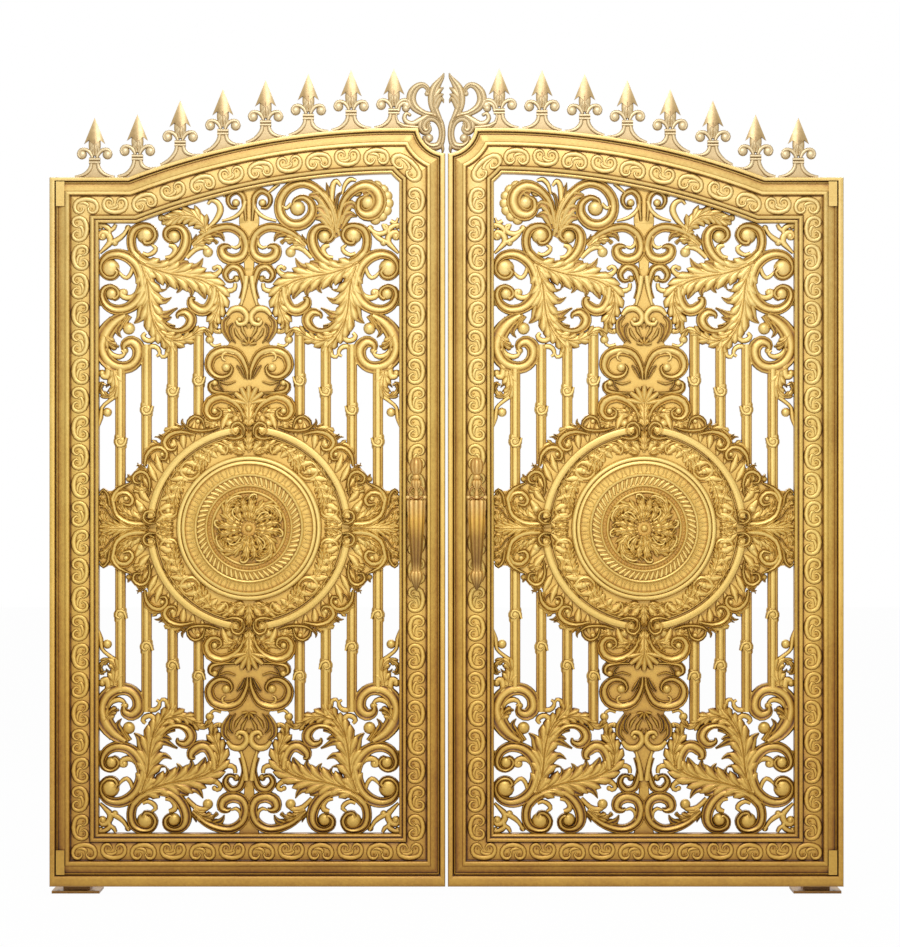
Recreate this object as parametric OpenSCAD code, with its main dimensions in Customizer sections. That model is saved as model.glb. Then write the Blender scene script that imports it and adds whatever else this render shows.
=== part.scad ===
// Double-leaf cast aluminium gate: two arched leaves of scrollwork on two hidden posts.
// The leaves lie along X, their front faces -Y, and Z is up. All sizes are in millimetres.

/* [Leaf] */
// Width of one leaf
leaf_w = 1485; // [1237:1:1782]
// Height of a leaf at its hinge side
leaf_h = 2662; // [2218:1:3195]
// Length of the level shoulder beside the hinge
shoulder_w = 294; // [245:1:350]
// Rise of the arch above the shoulder
arch_rise = 186; // [155:1:220]
// Distance of the top of the arch from the meeting edge
arch_in = 169; // [140:1:200]
// Gap between the closed leaves
centre_gap = 10; // [6:1:20]
// Space below the leaves
ground_gap = 30; // [25:1:80]

/* [Frame] */
// Width of the hinge stile
hinge_stile_w = 184; // [153:1:220]
// Width of the meeting stile
meeting_stile_w = 173; // [144:1:207]
// Width of the arched top rail
top_rail_w = 171; // [142:1:205]
// Width of the bottom rail
bottom_rail_w = 199; // [166:1:238]
// Thickness of the frame at its outer lip
lip_t = 80; // [66:1:96]
// Thickness of the raised fillets
fillet_t = 76; // [63:1:79]
// Thickness at the bottom of the channel
channel_t = 60; // [50:1:72]
// Thickness of the broad band that carries the reliefs
band_t = 56; // [46:1:67]
// Radius of the scoop cut out of the top meeting corner
scoop_r = 109; // [91:1:130]

/* [Filling] */
// Thickness of the scroll panels
scroll_t = 36; // [30:1:43]
// Width of an upright bar
bar_w = 38; // [31:0.1:46]
// Thickness of an upright bar
bar_t = 34; // [28:1:41]
// Spacing of the upright bars
bar_pitch = 98; // [81:0.1:118]
// Distance from the medallion's centre to the nearest bar
first_bar = 190; // [180:1:220]
// Width of the knots on the bars
knot_w = 52; // [43:1:62]
// Height of the knots on the bars
knot_h = 38; // [31:1:46]
// Radius of the leafy plate round the medallion
plate_r = 462; // [440:1:480]
// Thickness of the leafy plate
plate_t = 44; // [36:1:53]
// Outer radius of the smooth ring on the plate
ring_r = 385; // [375:1:400]
// Width of the smooth ring
ring_w = 29; // [24:1:35]
// Radius of the round medallion
medallion_r = 270; // [225:1:324]

/* [Cresting] */
// Spacing of the spears
spear_pitch = 160.7; // [134:0.1:162]
// Distance of the first spear from the hinge edge
first_spear = 167; // [139:1:200]
// Height of a spear above the rail
spear_h = 225; // [188:1:270]
// Width of an arrow head
spear_w = 84; // [70:1:100]
// Thickness of the cresting
crest_t = 30; // [25:1:36]
// Height of the strip that joins the feet of the spears
spear_foot = 10; // [8:1:14]
// Width of the corner crest on one leaf
crest_w = 138; // [120:1:150]

/* [Handle] */
// Length of the handle between its end knobs
handle_l = 500; // [420:1:600]
// Distance of the handle from the meeting edge
handle_in = 108; // [95:1:125]
// Height of the handle's middle above the medallion's centre
handle_up = 16; // [-60:1:60]
// Distance of the handle's axis from the middle of the leaf
handle_out = 96; // [88:1:115]
// Radius of the handle's thin part
grip_r = 16; // [13:1:19]

/* [Hinges and posts] */
// Width of a square post
post_w = 100; // [83:1:120]
// Wall of a post
post_wall = 5; // [4:0.5:6]
// Distance of a post's top below the level shoulder of its leaf
post_below = 60; // [50:1:72]
// Gap between the back of a leaf and its post
post_gap = 8; // [7:1:10]
// Side of a post's foot plate
foot_w = 180; // [150:1:216]
// Thickness of a foot plate
foot_t = 10; // [8:1:12]
// Spacing of the anchor holes
anchor_pitch = 130; // [124:1:150]
// Radius of an anchor hole
anchor_r = 7; // [6:0.5:9]
// Distance of the hinge axis from the leaf's outer edge
hinge_in = 25; // [21:1:26]
// Distance of the hinge axis behind the back of the leaf
hinge_back = 18; // [18:1:22]
// Radius of a hinge knuckle
knuckle_r = 13; // [10.8:0.1:13]
// Radius of a hinge pin
pin_r = 7; // [5.8:0.1:8.4]
// Radial clearance between pin and eye
pin_fit = 0.05; // [0.02:0.01:0.1]
// Height of a hinge eye
eye_h = 60; // [50:1:72]

/* [Hidden] */
SIDES = ["left", "right"];
LEAF_PARTS = ["hinge_stile", "meeting_stile", "top_rail", "bottom_rail", "upper_scrollwork",
    "lower_scrollwork", "upper_column", "lower_column", "upper_bars", "lower_bars",
    "medallion_plate", "plate_ring", "medallion", "rosette", "spears", "corner_crest",
    "handle", "hinge_covers", "hinge_eyes"];
POST_PARTS = ["post", "post_cap", "foot_plate", "hinge_pins"];

gold = [0.80, 0.62, 0.30];
pale_gold = [0.90, 0.78, 0.50];
bronze = [0.45, 0.32, 0.18];
steel = [0.62, 0.50, 0.27];

// where the parts of a leaf lie
arch_x = leaf_w - arch_in;
arch_c = arch_x - shoulder_w;
arch_r = (arch_c * arch_c + arch_rise * arch_rise) / (2 * arch_rise);
arch_z = leaf_h + arch_rise - arch_r;
scoop_x = leaf_w + 7;
scoop_z = leaf_h + arch_rise + 13;
top_all = leaf_h + arch_rise + spear_h;
spears_n = floor((leaf_w - crest_w - first_spear) / spear_pitch) + 1;
post_h = leaf_h + ground_gap - post_below;
open_l = hinge_stile_w;
open_r = leaf_w - meeting_stile_w;
mid_x = (open_l + open_r) / 2;
half_open = (open_r - open_l) / 2;
medallion_z = (bottom_rail_w + leaf_h - top_rail_w) / 2;
low_reach = medallion_z - bottom_rail_w;
handle_z = medallion_z + handle_up;
scroll_scale = half_open / 564;
bars_n = floor((half_open - first_bar - bar_w) / bar_pitch) + 1;
seam = 0.1;

// where the leaves and posts lie
post_x = hinge_in + knuckle_r + 6 + post_w / 2;
leaf_y = -(post_w / 2 + post_gap + lip_t / 2);
axis_y = lip_t / 2 + hinge_back;
gate_x = leaf_w - post_x + centre_gap / 2;
eye_z = [94 - eye_h / 2, (leaf_h - eye_h) / 2, leaf_h - 62 - eye_h / 2];

// edges of the mouldings: hinge side, meeting side, top, bottom, thickness inside this edge
function edge(k) = [
    [0, 0, 0, 0, lip_t],
    [0.114 * hinge_stile_w, 0.11 * meeting_stile_w, 0.082 * top_rail_w, 0.206 * bottom_rail_w, channel_t],
    [0.33 * hinge_stile_w, 0.324 * meeting_stile_w, 0.31 * top_rail_w, 0.40 * bottom_rail_w, fillet_t],
    [0.42 * hinge_stile_w, 0.40 * meeting_stile_w, 0.40 * top_rail_w, 0.49 * bottom_rail_w, band_t],
    [0.826 * hinge_stile_w, 0.844 * meeting_stile_w, 0.836 * top_rail_w, 0.84 * bottom_rail_w, fillet_t],
    [hinge_stile_w, meeting_stile_w, top_rail_w, bottom_rail_w, 0]][k];

function scoop_at(x, r) = scoop_z - sqrt(r * r - (scoop_x - x) * (scoop_x - x));

// stands an outline drawn in X and Z upright, centred on the leaf's middle
module upright(t) {
    translate([0, t / 2, 0]) rotate([90, 0, 0]) linear_extrude(t) children();
}

// face of the leaf inside one of the moulding edges
module leaf_face(e) {
    difference() {
        intersection() {
            translate([e[0], e[3]]) square([leaf_w - e[0] - e[1], leaf_h + arch_rise]);
            union() {
                square([leaf_w, leaf_h - e[2]]);
                translate([arch_x, arch_z]) circle(r = arch_r - e[2], $fn = 720);
            }
        }
        translate([scoop_x, scoop_z]) circle(r = scoop_r + e[2], $fn = 120);
    }
}

// one member of the frame: the moulding steps inside its own mitred outline
module member(outline) {
    for (k = [0 : 4])
        upright(edge(k)[4]) intersection() {
            difference() {
                leaf_face(edge(k));
                leaf_face(edge(k + 1));
            }
            polygon(outline);
        }
}

inner_corner = [open_r, scoop_at(open_r, scoop_r + top_rail_w)];
outer_corner = [leaf_w, scoop_at(leaf_w, scoop_r)];

module hinge_stile() {
    color(gold) member([[0, 0], [open_l, bottom_rail_w], [open_l, leaf_h - top_rail_w], [0, leaf_h]]);
}

module meeting_stile() {
    color(gold) member([[leaf_w, 0], [open_r, bottom_rail_w], inner_corner, outer_corner]);
}

module top_rail() {
    color(gold) member([[0, leaf_h], [open_l, leaf_h - top_rail_w], inner_corner, outer_corner,
        [leaf_w, top_all], [0, top_all]]);
}

module bottom_rail() {
    color(gold) member([[0, 0], [leaf_w, 0], [open_r, bottom_rail_w], [open_l, bottom_rail_w]]);
}

// smooth curves: a stroke is a list of [x, z, width]
function between(a, b, c, d, t) = 0.5 * (2 * b + (c - a) * t + (2 * a - 5 * b + 4 * c - d) * t * t
    + (3 * b - a - 3 * c + d) * t * t * t);
function smooth(p, n) = [for (i = [0 : len(p) - 2]) for (k = [0 : n - (i < len(p) - 2 ? 1 : 0)])
    between(p[max(i - 1, 0)], p[i], p[i + 1], p[min(i + 2, len(p) - 1)], k / n)];
function flat(a) = [a[0], a[1]];
function side_of(p, i) = let(d = flat(p[min(i + 1, len(p) - 1)]) - flat(p[max(i - 1, 0)]))
    [-d[1], d[0]] / max(norm(d), 0.001) * p[i][2] / 2;
// a curl: centre, radius, starting angle, turn in degrees, width at its start
function curl(c, r, from, turn, w) = [for (k = [0 : 6]) let(s = k / 6, a = from + turn * s, q = r * (1 - 0.62 * s))
    [c[0] + q * cos(a), c[1] + q * sin(a), w * (1 - 0.35 * s)]];

module stroke(points, n = 3) {
    p = smooth(points, n);
    for (i = [0 : len(p) - 2])
        polygon([flat(p[i]) + side_of(p, i), flat(p[i + 1]) + side_of(p, i + 1),
            flat(p[i + 1]) - side_of(p, i + 1), flat(p[i]) - side_of(p, i)]);
}

module ball(x, z, r) {
    translate([x, z]) circle(r = r, $fn = 12);
}

// the scrollwork of one quarter: x out from the column's axis, z in from the rail
module quarter_scrolls() {
    scale(scroll_scale) {
        stroke(concat([[394, 153, 40], [440, 215, 30], [490, 222, 26]], curl([514, 172], 40, 80, -330, 26)));
        stroke(concat([[386, 200, 36], [440, 300, 30], [490, 318, 26]], curl([514, 270], 40, 80, -330, 26)));
        stroke(concat([[394, 153, 40], [352, 110, 30], [345, 60, 26]], curl([382, 45], 38, 180, 330, 26)));
        stroke(concat([[394, 153, 40], [300, 130, 30], [245, 90, 26]], curl([281, 48], 38, 180, 330, 26)));
        stroke(concat([[394, 153, 60], [386, 251, 90], [360, 333, 80], [335, 410, 40]],
            curl([371, 427], 36, 180, -300, 26)));
        stroke(concat([[360, 333, 60], [320, 400, 50], [281, 416, 40], [221, 438, 36], [150, 480, 26]],
            curl([131, 442], 38, 100, 300, 24)));
        stroke([[375, 300, 60], [300, 330, 60], [232, 367, 50], [215, 330, 24]]);
        stroke([[394, 153, 60], [285, 187, 90], [184, 210, 80], [120, 232, 50], [64, 251, 30], [40, 232, 20]]);
        stroke(concat([[184, 210, 60], [120, 290, 50], [109, 375, 36], [116, 412, 24]],
            curl([140, 400], 26, 150, -270, 16)));
        stroke([[285, 187, 50], [250, 270, 50], [199, 315, 40], [170, 290, 20]]);
        stroke([[184, 210, 60], [150, 180, 40], [116, 170, 24]]);
        stroke([[230, 200, 50], [200, 160, 40], [169, 138, 16]]);
        stroke([[320, 200, 60], [290, 260, 40], [270, 290, 16]]);
        stroke([[386, 270, 50], [427, 340, 36], [430, 385, 16]]);
        stroke(concat([[386, 251, 50], [440, 320, 40], [495, 348, 40], [540, 400, 34], [550, 472, 30],
            [520, 535, 26], [454, 545, 24]], curl([442, 500], 44, 90, 270, 22)));
        stroke([[495, 348, 34], [465, 370, 30], [450, 393, 30]]);
        stroke([[442, 476, 20], [405, 498, 16], [356, 465, 16], [330, 495, 16], [304, 476, 16], [281, 416, 20]]);
        stroke([[552, 470, 40], [536, 570, 50], [544, 626, 40], [540, 708, 40], [555, 753, 16]]);
        stroke(concat([[285, 160, 50], [221, 108, 60], [170, 70, 30]], curl([146, 105], 34, 290, 300, 22)));
        stroke([[221, 108, 50], [191, 60, 40], [191, 20, 30]]);
        stroke([[170, 70, 40], [116, 60, 30], [82, 50, 30], [40, 30, 30]]);
        stroke(concat([[6, 20, 30], [20, 90, 30], [60, 150, 26]], curl([86, 108], 36, 110, -300, 22)));
        stroke([[6, 10, 40], [67, 8, 30], [140, 6, 30]]);
        stroke([[555, 20, 60], [529, 40, 50], [510, 97, 40], [514, 140, 30]]);
        stroke([[529, 30, 50], [469, 48, 40], [420, 20, 30], [380, 8, 30]]);
        stroke([[281, 10, 40], [230, 6, 30], [191, 8, 30]]);
        ball(514, 172, 26);
        ball(514, 270, 26);
        ball(382, 45, 26);
        ball(281, 48, 26);
        ball(371, 427, 20);
        ball(131, 442, 20);
    }
}

module both_halves() {
    for (m = [0, 1]) translate([mid_x, 0]) mirror([m, 0]) children();
}

// half width of the column at distances from the medallion's centre
function column_edge() = [[142, 440], [142, 506], [128, 540], [157, 622], [150, 690], [109, 765],
    [60, 830], [36, 900], [94, 952], [112, 1040], [90, 1100], [60, 1150], [60, 1300]];

module column_shape(reach) {
    p = smooth(column_edge(), 3);
    s = low_reach / 1148;
    intersection() {
        scale([half_open / 564, s]) polygon(concat([for (a = p) [a[0], a[1]]],
            [for (i = [len(p) - 1 : -1 : 0]) [-p[i][0], p[i][1]]]));
        translate([-half_open, 0]) square([2 * half_open, reach]);
    }
}

module plate_shape() {
    n = 120;
    translate([mid_x, medallion_z]) {
        polygon([for (i = [0 : n - 1]) let(a = 360 * i / n, r = plate_r + 14 * abs(sin(12 * a)))
            [r * cos(a), r * sin(a)]]);
        polygon([for (m = [0, 1]) for (q = [[380, -190], [480, -150], [520, -95], [564, -120], [564, 120],
            [520, 95], [480, 150], [380, 190]]) (m == 0 ? 1 : -1) * q * half_open / 564]);
        for (m = [0, 1]) mirror([0, m]) translate([-140, 400]) square([280, 110]);
    }
}

module opening() {
    leaf_face(edge(5));
}

// distances of a bar's end and of its knot from the medallion's centre, nearest bar first
function bar_end(i) = low_reach - scroll_scale * [439, 459, 484, 559][min(i, 3)];
function knot_at(i) = bar_end(i) - [146, 178, 220, 247][min(i, 3)];

module bars_shape() {
    translate([mid_x, medallion_z]) for (m = [0, 1]) mirror([m, 0]) for (i = [0 : bars_n - 1])
        translate([first_bar + bar_pitch * i, 0]) {
            translate([-bar_w / 2, 0]) square([bar_w, bar_end(i)]);
            translate([-knot_w / 2, knot_at(i) - knot_h / 2]) square([knot_w, knot_h]);
        }
}

module upward(up) {
    translate([0, up ? 0 : 2 * medallion_z]) mirror([0, up ? 0 : 1]) children();
}

module bars(up) {
    color(gold) upright(bar_t) offset(delta = -seam) difference() {
        upward(up) bars_shape();
        plate_shape();
        // a bar a wide panel brings over the column gives way to it
        upward(up) translate([mid_x, medallion_z]) column_shape(leaf_h);
    }
}

module column(up) {
    reach = up ? leaf_h : low_reach;
    color(gold) upright(plate_t) offset(delta = -seam) intersection() {
        opening();
        difference() {
            upward(up) translate([mid_x, medallion_z]) column_shape(reach);
            plate_shape();
        }
    }
}

// leaves and scrolls that fill the space between the mirrored scrollwork and the arch
module arch_scrolls() {
    z = bottom_rail_w;
    top = 2 * medallion_z - z;
    translate([mid_x, top]) {
        stroke([[-340, 10, 50], [-260, 30, 60], [-172, 60, 40], [-100, 90, 30]]);
        stroke(concat([[-172, 60, 34], [-120, 30, 26]], curl([-135, 72], 36, 300, 300, 22)));
        stroke(concat([[20, 110, 24], [80, 60, 30], [140, 40, 40]], curl([198, 60], 88, 220, 420, 34)));
        stroke([[140, 0, 50], [260, -20, 50], [330, 10, 60], [330, 80, 50], [315, 165, 40]]);
        stroke([[330, 0, 50], [375, 60, 50], [400, 130, 40]]);
        stroke(concat([[330, 0, 50], [420, 10, 40]], curl([480, 80], 80, 240, 430, 40)));
        stroke([[480, 140, 40], [520, 170, 40], [555, 190, 40]]);
        stroke([[530, -20, 40], [545, -60, 30], [555, -110, 20]]);
        ball(198, 60, 40);
        ball(480, 85, 60);
    }
}

module scrollwork(up) {
    color(gold) upright(scroll_t) offset(delta = -seam) intersection() {
        opening();
        difference() {
            union() {
                upward(!up) both_halves() translate([0, bottom_rail_w]) quarter_scrolls();
                if (up) arch_scrolls();
            }
            upward(up) translate([mid_x, medallion_z]) column_shape(leaf_h);
            upward(up) bars_shape();
            plate_shape();
        }
    }
}

module upper_scrollwork() {
    scrollwork(true);
}

module lower_scrollwork() {
    scrollwork(false);
}

module upper_column() {
    column(true);
}

module lower_column() {
    column(false);
}

module upper_bars() {
    bars(true);
}

module lower_bars() {
    bars(false);
}

module medallion_plate() {
    color(gold) upright(plate_t) offset(delta = -seam) intersection() {
        opening();
        difference() {
            plate_shape();
            translate([mid_x, medallion_z]) circle(r = medallion_r + seam, $fn = 180);
        }
    }
}

// the smooth ring, in four arcs between clasps, on both faces of the plate
module plate_ring() {
    color(pale_gold) for (f = [-1, 1]) translate([0, f * (plate_t / 2 + 7), 0]) upright(14)
        translate([mid_x, medallion_z]) difference() {
            circle(r = ring_r, $fn = 180);
            circle(r = ring_r - ring_w, $fn = 180);
            for (a = [0, 90]) rotate(a) square([2 * ring_r + 2, 60], center = true);
        }
}

// a disc that faces forwards and backwards
module disc(r, t) {
    translate([mid_x, t / 2, medallion_z]) rotate([90, 0, 0]) cylinder(r = r, h = t, $fn = 180);
}

module medallion() {
    color(gold) {
        disc(medallion_r, 72);
        disc(medallion_r - 29, 84);
    }
}

module rosette() {
    color(gold) for (f = [-1, 1]) translate([0, f * 47, 0]) disc(132, 10);
}

module spear_shape() {
    w = spear_w / 2;
    h = spear_h;
    polygon([[-14, -12], [-20, 0.24 * h], [-10, 0.4 * h], [-12, 0.5 * h], [-8, 0.58 * h], [-w, 0.54 * h],
        [-0.5 * w, 0.78 * h], [0, h], [0.5 * w, 0.78 * h], [w, 0.54 * h], [8, 0.58 * h], [12, 0.5 * h],
        [10, 0.4 * h], [20, 0.24 * h], [14, -12]]);
    for (s = [-1, 1]) scale([s, 1]) {
        stroke(concat([[4, 0.27 * h, 12], [20, 0.5 * h, 14], [52, 0.47 * h, 12]], curl([44, 0.35 * h], 18, 70, -270, 10)));
        stroke([[8, 0.24 * h, 16], [30, 14, 18], [62, 2, 20], [81, -8, 22]]);
    }
}

function top_at(x) = x < shoulder_w ? leaf_h : arch_z + sqrt(arch_r * arch_r - (x - arch_x) * (x - arch_x));

module spears() {
    color(pale_gold) upright(crest_t) offset(delta = -seam) difference() {
        union() {
            for (i = [0 : spears_n - 1]) let(x = first_spear + spear_pitch * i) translate([x, top_at(x)]) spear_shape();
            intersection() {
                translate([first_spear - 80, 0]) square([leaf_w - first_spear - 60, top_all]);
                translate([0, spear_foot]) leaf_face(edge(0));
            }
        }
        leaf_face(edge(0));
        translate([leaf_w - crest_w, leaf_h]) square([crest_w + 200, 500]);
    }
}

module crest_shape() {
    translate([leaf_w, leaf_h + arch_rise]) {
        stroke(concat([[-3, -98, 20], [-20, -30, 22], [-60, 10, 24], [-100, 20, 24]],
            curl([-95, 70], 44, 270, -300, 20)));
        stroke(concat([[-20, -30, 20], [-24, 60, 24], [-70, 130, 24]], curl([-85, 150], 34, 300, 300, 18)));
        stroke([[-14, -100, 18], [-10, 0, 18], [-14, 100, 20], [-40, 170, 22], [-12, 206, 10]]);
        stroke([[-100, 20, 20], [-112, 4, 20], [-118, -8, 16]]);
    }
}

module corner_crest() {
    color(pale_gold) upright(crest_t) offset(delta = -seam) difference() {
        crest_shape();
        leaf_face(edge(0));
        translate([leaf_w - 1, 0]) square([200, top_all]);
        translate([leaf_w - crest_w - 262, 0]) square([262, top_all]);
    }
}

module handle() {
    x = leaf_w - handle_in;
    l = handle_l;
    foot = handle_out - band_t / 2;
    color(bronze) {
        translate([x, -handle_out, handle_z - l / 2]) {
            cylinder(r = grip_r, h = l);
            translate([0, 0, 0.3 * l]) cylinder(r = 2 * grip_r, h = 0.5 * l);
            translate([0, 0, 0.92 * l]) cylinder(r = 1.4 * grip_r, h = 0.05 * l);
        }
        for (z = [0.04, 0.9]) translate([x, -handle_out, handle_z - l / 2 + z * l]) rotate([-90, 0, 0])
            cylinder(r = grip_r - 1, h = foot);
    }
}

module hinge_covers() {
    a = 0.114 * hinge_stile_w + 4;
    b = 0.33 * hinge_stile_w - 4;
    top = leaf_h - 0.082 * top_rail_w - 2;
    color(pale_gold) for (z = [45, top - 92]) translate([a, -lip_t / 2 + 2, z])
        cube([b - a, (lip_t - channel_t) / 2 - 2, 92]);
}

// eyes on the back of the hinge stile
module hinge_eyes() {
    lip = 0.114 * hinge_stile_w;
    color(steel) for (z = eye_z) translate([0, 0, z]) difference() {
        union() {
            translate([hinge_in - knuckle_r, lip_t / 2, 0]) cube([2 * knuckle_r, hinge_back, eye_h]);
            translate([lip, channel_t / 2, 0])
                cube([0.33 * hinge_stile_w - lip - 4, (lip_t - channel_t) / 2, eye_h]);
            translate([hinge_in, axis_y, 0]) cylinder(r = knuckle_r, h = eye_h);
        }
        translate([hinge_in, axis_y, -1]) cylinder(r = pin_r + pin_fit, h = eye_h + 2);
    }
}

// pins on brackets that the posts carry
module hinge_pins() {
    color(steel) for (z = eye_z) translate([0, 0, z]) {
        translate([hinge_in, axis_y, -40]) cylinder(r = knuckle_r, h = 39.5);
        translate([hinge_in, axis_y, -40]) cylinder(r = pin_r, h = eye_h + 36);
        translate([hinge_in, axis_y - 6, -40]) cube([post_x - post_w / 2 - hinge_in, 12, 39.5]);
    }
}

// square post in the gate's own frame, its foot plate at the origin
module post() {
    color(steel) translate([0, 0, foot_t]) linear_extrude(post_h - foot_t) difference() {
        square(post_w, center = true);
        square(post_w - 2 * post_wall, center = true);
    }
}

module post_cap() {
    color(steel) translate([0, 0, post_h]) {
        linear_extrude(6) square(post_w + 2, center = true);
        translate([0, 0, -12]) linear_extrude(12) square(post_w - 2 * post_wall - 1, center = true);
    }
}

module foot_plate() {
    color(steel) linear_extrude(foot_t) difference() {
        square(foot_w, center = true);
        for (x = [-1, 1]) for (y = [-1, 1]) translate([x, y] * anchor_pitch / 2) circle(r = anchor_r, $fn = 48);
    }
}

module piece(p) {
    if (p == "hinge_stile") hinge_stile();
    if (p == "meeting_stile") meeting_stile();
    if (p == "top_rail") top_rail();
    if (p == "bottom_rail") bottom_rail();
    if (p == "upper_scrollwork") upper_scrollwork();
    if (p == "lower_scrollwork") lower_scrollwork();
    if (p == "upper_column") upper_column();
    if (p == "lower_column") lower_column();
    if (p == "upper_bars") upper_bars();
    if (p == "lower_bars") lower_bars();
    if (p == "medallion_plate") medallion_plate();
    if (p == "plate_ring") plate_ring();
    if (p == "medallion") medallion();
    if (p == "rosette") rosette();
    if (p == "spears") spears();
    if (p == "corner_crest") corner_crest();
    if (p == "handle") handle();
    if (p == "hinge_covers") hinge_covers();
    if (p == "hinge_eyes") hinge_eyes();
    if (p == "hinge_pins") hinge_pins();
}

module post_piece(p) {
    if (p == "post") post();
    if (p == "post_cap") post_cap();
    if (p == "foot_plate") foot_plate();
}

// the left side as it is, the right side mirrored about the gap between the leaves
module side(s) {
    if (s == "left") children();
    else translate([2 * gate_x, 0, 0]) mirror([1, 0, 0]) children();
}

for (s = SIDES) for (p = concat(LEAF_PARTS, POST_PARTS))
    side(s) {
        translate([-post_x, leaf_y, ground_gap]) piece(p);
        post_piece(p);
    }
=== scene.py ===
import math
import bpy
import numpy as np
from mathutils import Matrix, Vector


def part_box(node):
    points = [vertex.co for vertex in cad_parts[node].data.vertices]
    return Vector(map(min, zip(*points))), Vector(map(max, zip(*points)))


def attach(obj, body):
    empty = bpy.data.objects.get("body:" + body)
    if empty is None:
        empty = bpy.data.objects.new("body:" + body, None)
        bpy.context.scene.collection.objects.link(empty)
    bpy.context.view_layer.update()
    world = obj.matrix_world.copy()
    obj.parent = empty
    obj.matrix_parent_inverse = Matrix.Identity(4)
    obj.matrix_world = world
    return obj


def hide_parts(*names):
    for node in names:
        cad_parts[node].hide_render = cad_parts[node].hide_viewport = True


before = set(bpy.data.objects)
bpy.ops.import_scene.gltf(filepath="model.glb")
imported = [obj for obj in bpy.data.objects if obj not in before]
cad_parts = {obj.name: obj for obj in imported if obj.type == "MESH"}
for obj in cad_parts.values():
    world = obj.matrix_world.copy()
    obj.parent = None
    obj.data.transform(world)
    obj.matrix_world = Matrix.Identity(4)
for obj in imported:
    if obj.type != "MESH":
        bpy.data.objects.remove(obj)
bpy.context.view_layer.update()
print("frame loaded")

# places taken from the frame, in millimetres inside one leaf: u in from the hinge edge, y back, h up
stileLow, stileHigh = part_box("left_hinge_stile")
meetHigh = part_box("left_meeting_stile")[1]
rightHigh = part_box("right_hinge_stile")[1]
leaf = {
    "width": (meetHigh.x - stileLow.x) * 1000,
    "height": (stileHigh.z - stileLow.z) * 1000,
    "midY": (stileLow.y + stileHigh.y) / 2,
    "bottom": stileLow.z,
    "leftEdge": stileLow.x,
    "rightEdge": rightHigh.x,
}
frameSizes = {
    "hinge": 184, "meeting": 173, "top": 171, "bottom": 199,
    "shoulder": 294, "rise": 186, "archIn": 169, "scoop": 109,
}
archX = leaf["width"] - frameSizes["archIn"]
archHalf = archX - frameSizes["shoulder"]
archR = (archHalf ** 2 + frameSizes["rise"] ** 2) / (2 * frameSizes["rise"])
archZ = leaf["height"] + frameSizes["rise"] - archR
scoopX = leaf["width"] + 7
scoopZ = leaf["height"] + frameSizes["rise"] + 13
openLeft = frameSizes["hinge"]
openRight = leaf["width"] - frameSizes["meeting"]
midU = (openLeft + openRight) / 2
medH = (frameSizes["bottom"] + leaf["height"] - frameSizes["top"]) / 2
axisGap = 5.5  # each half of the scrollwork stands this far from the column's axis


# building shapes as points and faces
class Shape:
    def __init__(self):
        self.points, self.faces, self.glow, self.count = [], [], [], 0

    def add(self, points, faces, glow):
        points = np.asarray(points, float)
        self.points.append(points)
        self.faces.extend([[i + self.count for i in f] for f in faces])
        self.glow.append(np.broadcast_to(np.asarray(glow, float), (len(points),)).copy())
        self.count += len(points)

    def join(self, other, place=None, flip=False):
        if not other.count:
            return
        points = np.concatenate(other.points)
        if place is not None:
            points = place(points)
        faces = [f[::-1] for f in other.faces] if flip else other.faces
        self.add(points, faces, np.concatenate(other.glow))


def toWorld(points, side):
    out = np.empty_like(points)
    if side == "left":
        out[:, 0] = leaf["leftEdge"] + points[:, 0] / 1000
    else:
        out[:, 0] = leaf["rightEdge"] - points[:, 0] / 1000
    out[:, 1] = leaf["midY"] + points[:, 1] / 1000
    out[:, 2] = leaf["bottom"] + points[:, 2] / 1000
    return out


def makePiece(shape, side, name, material, sharp):
    points = toWorld(np.concatenate(shape.points), side)
    faces = [f[::-1] for f in shape.faces] if side == "right" else shape.faces
    mesh = bpy.data.meshes.new(name)
    mesh.from_pydata(points.tolist(), [], faces)
    # the relief attribute holds each point's painted brightness: painted highlights on the carving's crests,
    # glaze and painted shade in its grooves
    relief = mesh.attributes.new("relief", "FLOAT", "POINT")
    relief.data.foreach_set("value", np.concatenate(shape.glow))
    mesh.update()
    mesh.polygons.foreach_set("use_smooth", [True] * len(mesh.polygons))
    mesh.set_sharp_from_angle(angle=math.radians(sharp))
    mesh.materials.append(material)
    piece = bpy.data.objects.new(name, mesh)
    bpy.context.scene.collection.objects.link(piece)
    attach(piece, side + "_leaf")
    return piece


def build(name, shape, material, sharp=45, ending="_carved"):
    for side in ("left", "right"):
        piece = makePiece(shape, side, side + "_" + name + ending, material, sharp)
        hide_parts(side + "_" + name)
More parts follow.
